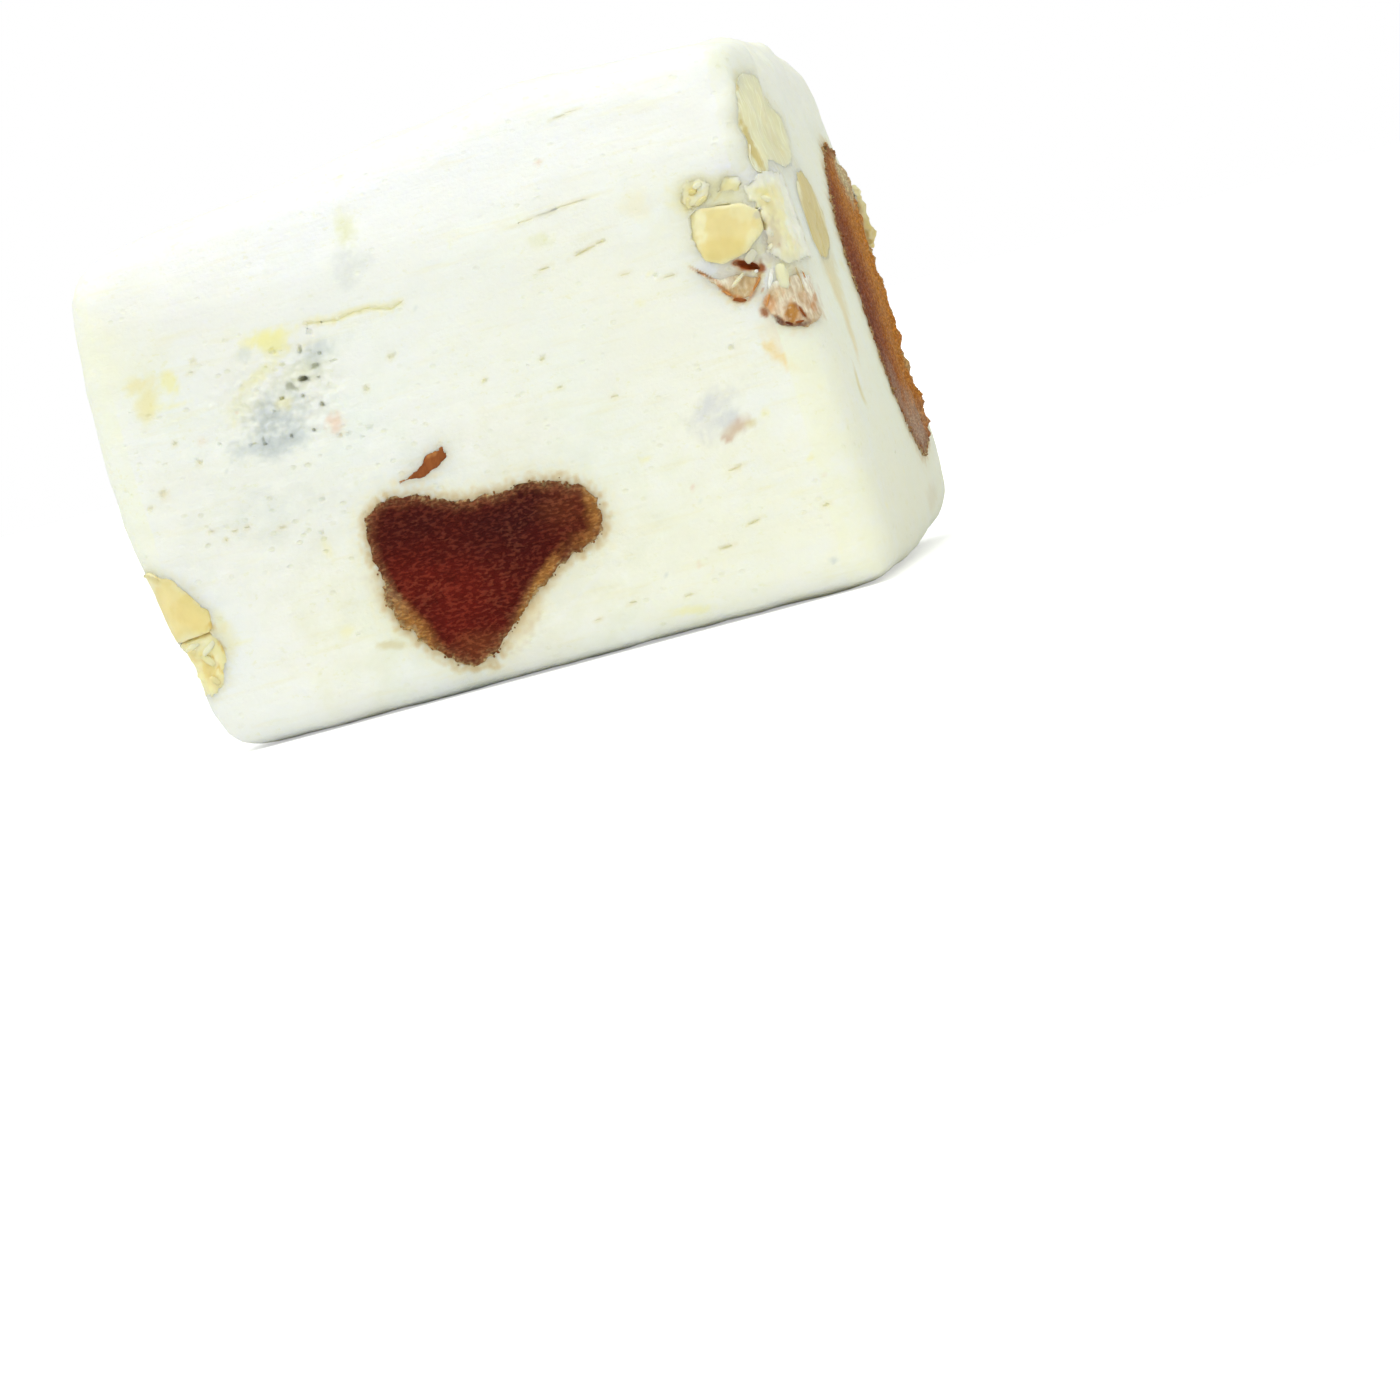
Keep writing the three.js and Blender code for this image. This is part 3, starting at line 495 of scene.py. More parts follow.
def finished(obj, kind, **settings):
    """Adds one modifier, sets it and applies it."""
    only(obj)
    modifier = obj.modifiers.new(kind.title(), kind)
    for name, value in settings.items():
        setattr(modifier, name, value)
    bpy.ops.object.modifier_apply(modifier=modifier.name)
    return obj


def copy_of(node, name):
    """A merged copy of a CAD node, as a new object of its own."""
    obj = NODES[node].copy()
    obj.data = NODES[node].data.copy()
    for key in list(obj.keys()):
        del obj[key]
    obj.parent = None
    obj.name = obj.data.name = name
    bpy.context.collection.objects.link(obj)
    only(obj)
    bpy.ops.object.mode_set(mode="EDIT")
    bpy.ops.mesh.select_all(action="SELECT")
    bpy.ops.mesh.remove_doubles(threshold=1e-7)
    bpy.ops.object.mode_set(mode="OBJECT")
    return obj


def joined(objects, name):
    only(*objects)
    bpy.ops.object.join()
    whole = bpy.context.object
    whole.name = whole.data.name = name
    return whole


def remeshed(obj, voxel):
    return finished(obj, "REMESH", mode="VOXEL", voxel_size=voxel, use_smooth_shade=True)


def displaced(obj, texture, strength, stretch=(1, 1, 1), group="", direction="NORMAL", level=0.5):
    """Pushes the surface in and out along its normals by a procedural texture in millimetres."""
    bpy.ops.object.empty_add(location=(0, 0, 0))
    space = bpy.context.object
    space.scale = Vector(stretch) * MM
    bpy.context.view_layer.update()
    finished(
        obj, "DISPLACE", texture=texture, texture_coords="OBJECT", texture_coords_object=space,
        strength=strength * MM, mid_level=level, vertex_group=group, direction=direction,
    )
    bpy.data.objects.remove(space)
    return obj


def swollen(obj, amount):
    """Moves the whole surface out by an amount in millimetres, or in where it is negative."""
    return finished(obj, "DISPLACE", strength=amount * MM, mid_level=0.0)


def clouds(name, size, depth=2):
    texture = bpy.data.textures.new(name, "CLOUDS")
    texture.noise_scale = size
    texture.noise_depth = depth
    return texture


def shards(name, size):
    """A texture of flat-sided cells, for broken faces."""
    texture = bpy.data.textures.new(name, "VORONOI")
    texture.noise_scale = size
    texture.distance_metric = "DISTANCE_SQUARED"
    return texture


def pick_faces(obj, wanted):
    """Selects the faces for which wanted(centre, normal) holds, in edit mode."""
    only(obj)
    bpy.ops.object.mode_set(mode="EDIT")
    bpy.ops.mesh.select_all(action="DESELECT")
    bpy.ops.object.mode_set(mode="OBJECT")
    for face in obj.data.polygons:
        face.select = wanted(face.center, face.normal)
    bpy.ops.object.mode_set(mode="EDIT")
    bpy.ops.mesh.select_mode(type="FACE")


def split_faces(obj, cuts, wanted):
    pick_faces(obj, wanted)
    bpy.ops.mesh.subdivide(number_cuts=cuts, smoothness=0)
    bpy.ops.object.mode_set(mode="OBJECT")


def weighted(obj, name, weight_at):
    """A vertex group whose weight at each point is worked out from its place in millimetres."""
    group = obj.vertex_groups.new(name=name)
    for vertex in obj.data.vertices:
        weight = weight_at(vertex.co / MM, vertex.normal)
        if weight > 0:
            group.add([vertex.index], min(weight, 1), "REPLACE")
    return name


def ramp(value, low, high):
    share = min(max((value - low) / (high - low), 0), 1)
    return share * share * (3 - 2 * share)


def gaps_to(places, points):
    """Distance from each place to the nearest of the points."""
    tree = kdtree.KDTree(len(points))
    for index, point in enumerate(points):
        tree.insert(point, index)
    tree.balance()
    return numpy.array([tree.find(place)[2] for place in places])


def read_points(piece, name):
    """The place ("co", in metres) or the normal of every point, a row each."""
    vertices = piece.data.vertices
    values = numpy.empty(len(vertices) * 3)
    vertices.foreach_get(name, values)
    return values.reshape(-1, 3)


# ------------------------------------------------------------------ colouring by place
class Painter:
    """Colours a piece by where its points lie, and stores that as its tint attribute."""

    def __init__(self, piece, tone):
        self.mesh = piece.data
        self.place = read_points(piece, "co") / MM
        self.colour = numpy.tile(numpy.array(tone, dtype=float), (len(self.place), 1))
        self.broad = self.ripple(0.9)
        self.fine = self.ripple(0.22)

    def ripple(self, size):
        """Noise from -1 to 1 at every point."""
        return numpy.array([noise.noise(Vector(place) / size) for place in self.place])

    def blend(self, mask, tint):
        self.colour += mask[:, None] * (numpy.array(tint) - self.colour)

    def mark(
        self, face, tint, across, up, width, height, turn=0, strength=1,
        ragged=0.5, fade=0.35, speckle=0,
    ):
        """An uneven oval mark on one face, used for stains, painted shade and painted highlights, fading
        out at its rim and broken up by speckle.
        """
        over, rise, out = (numpy.array(axis) for axis in FACES[face])
        x = self.place @ over - across
        y = self.place @ rise - up
        angle = math.radians(turn)
        along = (x * math.cos(angle) + y * math.sin(angle)) / width
        aside = (y * math.cos(angle) - x * math.sin(angle)) / height
        wobble = self.broad + 0.6 * self.fine if min(width, height) > 0.4 else self.fine
        distance = numpy.hypot(along, aside) + ragged * wobble
        inside = numpy.clip((1 + fade - distance) / (2 * fade), 0, 1)
        height_out = self.place @ out
        near = height_out > height_out.max() - MARK_REACH
        broken = numpy.clip(1 - speckle * (0.4 + 0.9 * self.fine + 1.6 * self.broad), 0, 1)
        self.blend(strength * near * broken * inside * inside * (3 - 2 * inside), tint)

    def halo(self, other, tint, reach, strength):
        """An uneven rim of another colour round a piece, reach in millimetres."""
        points = numpy.array([vertex.co / MM for vertex in other.data.vertices])
        low, high = points.min(0) - reach, points.max(0) + reach
        close = numpy.flatnonzero(((self.place > low) & (self.place < high)).all(1))
        gaps = gaps_to(self.place[close], points)
        uneven = 0.4 * self.broad[close] + 0.9 * self.fine[close]
        mask = numpy.zeros(len(self.place))
        mask[close] = numpy.clip(1 - gaps / reach + uneven * (1 - gaps / (2 * reach)), 0, 1)
        self.blend(strength * mask, tint)

    def store(self):
        """Keeps the colours, in place of any that a cutter brought along."""
        old = self.mesh.color_attributes.get("tint")
        if old:
            self.mesh.color_attributes.remove(old)
        layer = self.mesh.color_attributes.new("tint", "FLOAT_COLOR", "POINT")
        rgba = numpy.ones((len(self.colour), 4))
        rgba[:, :3] = self.colour
        layer.data.foreach_set("color", rgba.ravel())


# ------------------------------------------------------------------ material helpers
class Finish:
    """A node material on Object coordinates in millimetres, built up step by step."""

    def __init__(self, name):
        self.material = bpy.data.materials.new(name)
        self.material.use_nodes = True
        self.tree = self.material.node_tree
        self.shader = self.tree.nodes["Principled BSDF"]
        coordinate = self.tree.nodes.new("ShaderNodeTexCoord")
        self.place = self.mapped(coordinate.outputs["Object"], (1 / MM,) * 3)

    def mapped(self, vector, scale):
        node = self.tree.nodes.new("ShaderNodeMapping")
        node.inputs["Scale"].default_value = scale
        self.tree.links.new(vector, node.inputs["Vector"])
        return node.outputs["Vector"]

    def pattern(self, kind, size, stretch):
        node = self.tree.nodes.new(kind)
        node.inputs["Scale"].default_value = 1 / size
        squeeze = tuple(1 / value for value in stretch)
        self.tree.links.new(self.mapped(self.place, squeeze), node.inputs["Vector"])
        return node

    def noise(self, size, detail=3, rough=0.5, stretch=(1, 1, 1)):
        node = self.pattern("ShaderNodeTexNoise", size, stretch)
        node.inputs["Detail"].default_value = detail
        node.inputs["Roughness"].default_value = rough
        return node.outputs["Fac"]

    def cells(self, size, stretch=(1, 1, 1)):
        """Distance to the nearest of many scattered points."""
        return self.pattern("ShaderNodeTexVoronoi", size, stretch).outputs["Distance"]

    def attribute(self, name, output="Fac"):
        node = self.tree.nodes.new("ShaderNodeAttribute")
        node.attribute_name = name
        return node.outputs[output]

    def between(self, value, low, high, start=0.0, end=1.0):
        node = self.tree.nodes.new("ShaderNodeMapRange")
        node.interpolation_type = "SMOOTHSTEP"
        sockets = ("From Min", "From Max", "To Min", "To Max")
        for socket, number in zip(sockets, (low, high, start, end)):
            node.inputs[socket].default_value = number
        self.tree.links.new(value, node.inputs["Value"])
        return node.outputs["Result"]

    def times(self, first, second):
        node = self.tree.nodes.new("ShaderNodeMath")
        node.operation = "MULTIPLY"
        self.fill(node.inputs, (first, second))
        return node.outputs["Value"]

    def mix(self, factor, first, second, blend="MIX"):
        node = self.tree.nodes.new("ShaderNodeMix")
        node.data_type = "RGBA"
        node.blend_type = blend
        self.fill((node.inputs[0], node.inputs[6], node.inputs[7]), (factor, first, second))
        return node.outputs[2]

    def fill(self, sockets, values):
        for socket, value in zip(sockets, values):
            if isinstance(value, bpy.types.NodeSocket):
                self.tree.links.new(value, socket)
            elif isinstance(value, tuple):
                socket.default_value = (*value, 1)
            else:
                socket.default_value = value

    def bump(self, height, distance, strength=1.0, under=None):
        node = self.tree.nodes.new("ShaderNodeBump")
        node.inputs["Distance"].default_value = distance * MM
        node.inputs["Strength"].default_value = strength
        self.tree.links.new(height, node.inputs["Height"])
        if under is not None:
            self.tree.links.new(under, node.inputs["Normal"])
        return node.outputs["Normal"]

    def set(self, **sockets):
        """Sets shader sockets, underscores standing for spaces in their names."""
        for name, value in sockets.items():
            socket = self.shader.inputs[name.replace("_", " ")]
            if isinstance(value, bpy.types.NodeSocket):
                self.tree.links.new(value, socket)
            elif isinstance(value, tuple) and len(socket.default_value) == 4:
                socket.default_value = (*value, 1)
            else:
                socket.default_value = value
        return self

    def glow(self, weight, radii):
        """Light that enters the stuff and comes out again, radii in millimetres."""
        self.set(Subsurface_Weight=weight, Subsurface_Radius=radii, Subsurface_Scale=MM)
        self.shader.subsurface_method = "RANDOM_WALK"


# ------------------------------------------------------------------ materials
def nougat_finish():
    """Off-white sugar mass: greenish-yellow tint, drag streaks along the cut, pinholes painted darker and
    yellower, the darkening being painted shade.
    """
    finish = Finish("nougat")
    tint = finish.attribute("tint", "Color")
    porous = finish.attribute("pinholes")
    wide = finish.between(finish.noise(6, 3), 0.35, 0.65)
    base = finish.mix(wide, (0.915, 0.945, 0.865), (0.940, 0.945, 0.850))
    streaks = finish.between(finish.noise(0.45, 4, 0.6, (9, 1, 1)), 0.53, 0.75)
    base = finish.mix(finish.times(streaks, 0.38), base, (0.90, 0.87, 0.64))
    flecks = finish.between(finish.noise(0.22, 3, 0.6, (1.5, 1, 1)), 0.58, 0.72)
    flecks = finish.times(flecks, finish.between(finish.noise(2.2, 2), 0.42, 0.6))
    base = finish.mix(finish.times(flecks, 0.5), base, (0.86, 0.86, 0.62))
    # Painted shade: the pinholes are painted darker, as the shade in them, and yellower.
    pinholes = finish.between(finish.cells(0.5, (1.5, 1, 1)), 0.10, 0.24, 1.0, 0.0)
    patchy = finish.between(finish.noise(1.7, 2), 0.40, 0.62)
    pinholes = finish.times(pinholes, finish.times(patchy, porous))
    base = finish.mix(finish.times(pinholes, 0.65), base, (0.78, 0.78, 0.56))
    base = finish.mix(1.0, base, tint, "MULTIPLY")
    grain = finish.noise(0.16, 4, 0.65)
    drag = finish.noise(0.35, 3, 0.6, (6, 1, 1))
    normal = finish.bump(grain, 0.06, 0.6)
    normal = finish.bump(drag, 0.08, 0.6, normal)
    normal = finish.bump(finish.times(pinholes, -1.0), 0.10, 0.8, normal)
    finish.set(Base_Color=base, Roughness=0.55, Normal=normal, Specular_IOR_Level=0.3)
    finish.glow(0.6, (1.4, 1.3, 0.9))
    return finish.material


def jelly_finish():
    """Dark red jelly, its cut face rough with short raised strokes, which are painted lighter where they
    catch the light as a painted highlight.
    """
    finish = Finish("jelly")
    tint = finish.attribute("tint", "Color")
    strokes = finish.noise(0.15, 2, 0.5, (1.8, 1, 0.8))
    # Painted highlight: the lit strokes are painted lighter, and in places mixed toward a pale brown that
    # is partly frost and partly painted highlight.
    lit = finish.between(strokes, 0.47, 0.63)
    cloud = finish.between(finish.noise(1.4, 3), 0.35, 0.65, 0.4, 1.0)
    frost_and_highlight = finish.times(finish.times(lit, cloud), 0.20)
    highlighted_strokes = finish.mix(lit, (0.84, 0.80, 0.80), (1.34, 1.42, 1.38))
    base = finish.mix(1.0, tint, highlighted_strokes, "MULTIPLY")
    base = finish.mix(frost_and_highlight, base, (0.32, 0.115, 0.055))
    normal = finish.bump(strokes, 0.14, 1.0)
    normal = finish.bump(finish.noise(0.08, 2, 0.5), 0.02, 0.6, normal)
    finish.set(Base_Color=base, Roughness=0.5, Normal=normal, Specular_IOR_Level=0.06)
    finish.glow(0.2, (1.0, 0.30, 0.12))
    return finish.material


def nut_finish(name, scratched):
    """Nut flesh: waxy and pale, and where scratched the blade's fibres show."""
    finish = Finish(name)
    tint = finish.attribute("tint", "Color")
    mottle = finish.between(finish.noise(0.9, 3), 0.3, 0.7)
    base = finish.mix(mottle, (0.95, 0.93, 0.86), (1.02, 1.01, 1.0))
    fibres = finish.between(finish.noise(0.13, 3, 0.5, (1, 1, 9)), 0.52, 0.66)
    base = finish.mix(finish.times(fibres, scratched), base, (1.16, 1.20, 1.35))
    base = finish.mix(1.0, tint, base, "MULTIPLY")
    normal = finish.bump(finish.noise(0.25, 4, 0.6), 0.03, 0.4)
    normal = finish.bump(finish.noise(0.12, 3, 0.6, (1, 1, 7)), 0.03, scratched, normal)
    finish.set(Base_Color=base, Roughness=0.42, Normal=normal, Specular_IOR_Level=0.4)
    finish.glow(0.35, (0.8, 0.6, 0.25))
    return finish.material


def skin_finish():
    """Red-brown nut skin, thin and fibrous, lighter where it is torn."""
    finish = Finish("skin")
    tint = finish.attribute("tint", "Color")
    fibres = finish.between(finish.noise(0.14, 4, 0.6, (1.5, 1, 5)), 0.35, 0.72)
    streaked = finish.mix(fibres, (0.85, 0.82, 0.80), (1.15, 1.22, 1.3))
    base = finish.mix(1.0, tint, streaked, "MULTIPLY")
    normal = finish.bump(finish.noise(0.14, 3, 0.6, (1.5, 1, 4)), 0.06, 0.8)
    finish.set(Base_Color=base, Roughness=0.5, Normal=normal, Specular_IOR_Level=0.15)
    finish.glow(0.1, (0.5, 0.25, 0.1))
    return finish.material


def dress(piece, material):
    """Gives the whole piece one material."""
    piece.data.materials.clear()
    piece.data.materials.append(material)


# ------------------------------------------------------------------ the nougat
LUMPS = clouds("lumps", 4.5)
RIPPLES = clouds("ripples", 1.3)


def uneven(obj):
    """The swells and ripples that cutting by hand leaves on the mass and on what lies in it."""
    displaced(obj, LUMPS, 0.22)
    return displaced(obj, RIPPLES, 0.09)


def nougat_block():
    """The whole block with its pockets filled, made uneven as cut by hand."""
    parts = [copy_of(name, "fill." + name) for name in NODES]
    block = joined(parts, "nougat_mass")
    remeshed(block, BLOCK_VOXEL)
    block = largest_shell(block)
    finished(block, "SMOOTH", factor=0.5, iterations=6)
    split_faces(block, 2, lambda centre, normal: normal.y < -0.35 and centre.y < -9 * MM)
    split_faces(block, 1, lambda centre, normal: normal.x > 0.5 and centre.y > -9.6 * MM)
    finished(block, "SMOOTH", factor=0.5, iterations=2)
    uneven(block)
    split_faces(block, 1, lambda centre, normal: normal.y < -0.5 and fine_at(centre / MM))
    front = weighted(block, "front", lambda place, normal: ramp(-normal.y, 0.3, 0.8))
    displaced(block, clouds("drag", 0.8), 0.07, (4, 1, 1), front)
    torn = weighted(block, "torn", torn_at)
    displaced(block, clouds("tears", 2.2, 1), 0.7, (1, 1, 1), torn, level=0.6)
    porous = weighted(block, "porous", porous_at)
    displaced(block, clouds("froth", 0.34, 1), 0.30, (1.3, 1, 1), porous)
    return block


def fine_at(place):
    """Whether the front needs finer faces: in the frothy patch, at the jelly and by the nuts."""
    dent = math.hypot((place.x + 6.9) / 3.2, (place.z - 13.8) / 2.2) < 1
    across, up = (place.x + 0.2) / 5.6, (place.z - 5.2) / 4.2
    jelly = 0.72 < math.hypot(across, up) < 1.1
    return dent or jelly or (place.x > 11 and 10.5 < place.z < 18)


def torn_at(place, normal):
    """Where the upper corner of the right end is torn and lumpy."""
    return ramp(place.x, 12.0, 14.5) * ramp(place.z, 17.2, 19.5)


def porous_at(place, normal):
    """How frothy the cut face is, 1 in the sunken patch and less around it."""
    if normal.y > -0.3:
        return 0.0
    dent = math.hypot((place.x + 6.9) / 3.0, (place.z - 13.6) / 2.1)
    around = math.hypot((place.x + 8.5) / 6.0, (place.z - 11.0) / 6.0)
    return max(ramp(-dent, -1.3, -0.5), 0.4 * ramp(-around, -1.2, -0.6))


def largest_shell(obj):
    """Drops the sealed scraps that the remesh leaves inside."""
    only(obj)
    bpy.ops.mesh.separate(type="LOOSE")
    shells = sorted(bpy.context.selected_objects, key=lambda shell: -len(shell.data.vertices))
    for scrap in shells[1:]:
        bpy.data.objects.remove(scrap)
    return shells[0]


def cut_by(obj, cutter):
    finished(obj, "BOOLEAN", operation="DIFFERENCE", solver="MANIFOLD", object=cutter)
    bpy.data.objects.remove(cutter)


def surface_place(obj, face, across, up):
    """The point of an object's surface under a place on one face, in metres."""
    over, rise, out = FACES[face]
    start = (over * across + rise * up + out * 40) * MM
    hit, place, *_ = obj.ray_cast(start, -out)
    return place if hit else None


def turned_to(face, turn, sizes, place):
    """Matrix that lays a unit shape on a face: along it, up it and into it."""
    over, rise, out = FACES[face]
    basis = Matrix((over, rise, out)).transposed().to_4x4()
    spin = Matrix.Rotation(math.radians(turn), 4, "Z")
    return Matrix.Translation(place) @ basis @ spin @ Matrix.Diagonal((*(Vector(sizes) * MM), 1))


def pebble(name, level, roughness, seed):
    """One uneven ball of about unit size, to copy."""
    bpy.ops.object.select_all(action="DESELECT")
    bpy.ops.mesh.primitive_ico_sphere_add(subdivisions=level, radius=1)
    ball = bpy.context.object
    ball.name = ball.data.name = name
    texture = clouds(name + "_wear", 0.9 + 0.01 * seed)
    return finished(ball, "DISPLACE", texture=texture, texture_coords="LOCAL", strength=roughness)


def placed(shape, matrix):
    """A copy of a shape with its own mesh, at a place."""
    copy = shape.copy()
    copy.data = shape.data.copy()
    bpy.context.collection.objects.link(copy)
    copy.data.transform(matrix)
    return copy


def hollows(block, holes):
    """One cutter for many small holes: (face, across, up, width, height, turn, depth)."""
    ball = pebble("hollow", 2, 0.9, 1)
    copies = []
    for face, across, up, width, height, turn, depth in holes:
        place = surface_place(block, face, across, up)
        if place is not None:
            copies.append(placed(ball, turned_to(face, turn, (width, height, depth), place)))
    bpy.data.objects.remove(ball)
    cutter = joined(copies, "hollows")
    return remeshed(cutter, PIT_VOXEL)


def along_line(points, spacing):
    """Evenly spaced points along a bent line."""
    places = []
    for (x0, z0), (x1, z1) in zip(points, points[1:]):
        steps = max(1, round(math.dist((x0, z0), (x1, z1)) / spacing))
        places += [(x0 + (x1 - x0) * i / steps, z0 + (z1 - z0) * i / steps) for i in range(steps)]
    return places + [points[-1]]


def scattered_marks(face, low, high, count, seed):
    """Small stains at random on a face, between two of its corners."""
    draw = random.Random(seed)
    tints = ("yellow", "cream", "olive", "cream", "orange", "rose", "slate", "yellow")
    marks = []
    for _ in range(count):
        across, up = draw.uniform(low[0], high[0]), draw.uniform(low[1], high[1])
        size = 0.08 + 0.5 * draw.random() ** 3
        flat = draw.uniform(0.3, 0.9)
        tint, turn, strength = draw.choice(tints), draw.gauss(0, 15), draw.uniform(0.2, 0.55)
        marks.append((tint, across, up, size, size * flat, turn, strength))
    return marks


def scattered_holes(face, low, high, count, seed):
    draw = random.Random(seed)
    holes = []
    for _ in range(count):
        across, up = draw.uniform(low[0], high[0]), draw.uniform(low[1], high[1])
        width = 0.05 + 0.16 * draw.random() ** 2
        height = width * draw.uniform(0.35, 0.9)
        holes.append((face, across, up, width, height, draw.gauss(0, 12), 0.08 + 0.5 * height))
    return holes


# ------------------------------------------------------------------ pieces in the nougat
def is_open(block, place, normal, slope):
    """Whether a point of a piece lies on the cut face of the nougat."""
    near, _, outward, _ = block.closest_point_on_mesh(place, distance=OPEN_REACH)
    return near and normal.dot(outward) > slope


def cutter_of(piece, block, share, inset=POCKET_INSET):
    """A plain copy with its open face drawn out, to cut the piece's pocket through the nougat."""
    only(piece)
    bpy.ops.object.duplicate()
    cutter = bpy.context.object
    finished(cutter, "DECIMATE", ratio=share)
    swollen(cutter, -inset)
    pick_faces(cutter, lambda centre, normal: is_open(block, centre, normal, CUTTER_SLOPE))
    bpy.ops.transform.shrink_fatten(value=DRAWN_OUT)
    bpy.ops.object.mode_set(mode="OBJECT")
    return cutter


def flush(piece, block):
    """Lays the piece's open face level with the nougat's, as one blade cut both."""
    def weight(place, normal):
        return 1.0 if is_open(block, place * MM, normal, OPEN_SLOPE) else 0.0

    open_side = weighted(piece, "open", weight)
    finished(
        piece, "SHRINKWRAP", target=block, wrap_method="NEAREST_SURFACEPOINT",
        wrap_mode="ON_SURFACE", offset=FLUSH_GAP, vertex_group=open_side,
    )
    return finished(piece, "SMOOTH", factor=0.5, iterations=2)


def side_points(piece, *outs):
    """Which points of a piece lie on its sides rather than on an open face, given the ways out."""
    outward = read_points(piece, "normal") @ numpy.array(outs).T
    return numpy.flatnonzero((outward < SIDE_SLOPE).all(1))


def rim_gaps(piece, sides):
    """Distance in millimetres from each point of the piece to its side points."""
    places = read_points(piece, "co") / MM
    return gaps_to(places, places[sides])


def pressed_piece(node, block, voxel, smooth):
    """A fine copy of the CAD piece that follows the nougat's unevenness."""
    piece = copy_of(node, node + "_made")
    for place, direction in BEVELS.get(node, ()):
        only(piece)
        bpy.ops.object.mode_set(mode="EDIT")
        bpy.ops.mesh.select_all(action="SELECT")
        bpy.ops.mesh.bisect(
            plane_co=Vector(place) * MM, plane_no=direction, use_fill=True, clear_outer=True,
        )
        bpy.ops.object.mode_set(mode="OBJECT")
    for face, across, up, *sizes in GROWN.get(node, ()):
        ball = pebble("growth", 3, 0.2, 1)
        place = surface_place(block, face, across, up)
        growth = placed(ball, turned_to(face, 0, sizes, place))
        bpy.data.objects.remove(ball)
        piece = joined([piece, growth], piece.name)
    remeshed(piece, voxel)
    finished(piece, "SMOOTH", factor=0.5, iterations=smooth)
    if node in SWOLLEN:
        swollen(piece, SWOLLEN[node])
    uneven(piece)
    return flush(piece, block) if node in FLUSH else piece


def crystals(piece, gaps, out, count, sizes, seed):
    """Sugar grains along the rim of a jelly's open face, joined to it."""
    draw = random.Random(seed)
    front = max(vertex.co.dot(out) for vertex in piece.data.vertices)
    rim = [
        vertex.co.copy() for vertex, gap in zip(piece.data.vertices, gaps)
        if gap < 0.2 and vertex.co.dot(out) > front - 1.0 * MM
    ]
    grain = pebble("grain", 1, 0.6, seed)
    grains = []
    for _ in range(count):
        size = draw.uniform(*sizes)
        shape = Matrix.Diagonal((size * draw.uniform(0.6, 1.4), size, size * draw.uniform(0.6, 1.2), 1))
        turn = Euler([draw.uniform(0, math.tau) for _ in range(3)]).to_matrix().to_4x4()
        place = draw.choice(rim) + Vector([draw.gauss(0, 0.04) for _ in range(3)]) * MM
        scale = Matrix.Diagonal((MM, MM, MM, 1))
        grains.append(placed(grain, Matrix.Translation(place) @ scale @ turn @ shape))
    bpy.data.objects.remove(grain)
    return joined([piece] + grains, piece.name)


def make_jelly(node, face, tone, marks, block):
    out = FACES[face][2]
    piece = pressed_piece(node, block, JELLY_VOXEL, 3)
    sides = side_points(piece, out, *((FACES["back"][2],) if node == "jelly_side" else ()))
    across = "X" if face in ("front", "back") else "Y"
    displaced(piece, clouds(node + "_edge", 0.32), 0.40, direction=across)
    displaced(piece, clouds(node + "_fringe", 0.36), 0.40, direction="Z")
    if node == "jelly_side":
        crusted = weighted(piece, "crusted", lambda place, normal: ramp(place.y, 3.5, 6.5))
        displaced(piece, clouds("crust", 0.5, 1), 0.5, (1, 1, 1), crusted, level=0.45)
    cutter = cutter_of(piece, block, 0.25, JELLY_INSET)
    split_faces(piece, 1, lambda centre, normal: normal.dot(out) > 0.5)
    displaced(piece, clouds(node + "_sugar", 0.18), 0.14, (1.6, 1, 1))
    perimeter = 2 * sum(sorted(piece.dimensions)[1:]) / MM
    grains, seed = int(9 * perimeter), len(node)
    crystals(piece, rim_gaps(piece, sides), out, grains, (0.03, 0.08), seed)
    painter = Painter(piece, JELLY_TONES[tone])
    grainy = painter.ripple(0.12)
    gaps = rim_gaps(piece, sides)
    edge = 0.35 * painter.broad + 0.25 * painter.fine
    for name, *mark in marks:
        if name != "amber":
            painter.mark(face, JELLY_TONES[name], *mark, fade=0.8)
    painter.blend(0.85 * numpy.clip(1.1 - gaps / 0.55 + edge, 0, 1), JELLY_TONES["rim"])
    # Painted light: the amber marks go only on this band near the rim, where light coming through the thin
    # jelly is painted in as colour.
    band = numpy.clip(1.3 - gaps / 0.8 + edge, 0, 1)  # where light comes through the thin rim
    for name, *mark in marks:
        if name == "amber":
            before = painter.colour.copy()
            painter.mark(face, JELLY_TONES[name], *mark, fade=0.6)
            painter.colour = before + band[:, None] * (painter.colour - before)
    painter.blend(0.35 * numpy.clip(1.6 * grainy * band, 0, 1), JELLY_TONES["brown"])
    painter.blend(0.75 * numpy.clip(0.85 - gaps / 0.35 + 1.1 * grainy, 0, 1), JELLY_TONES["tan"])
    painter.blend(0.9 * numpy.clip(1.1 - gaps / 0.16 + 1.1 * grainy, 0, 1), JELLY_TONES["grain"])
    painter.store()
    return piece, cutter


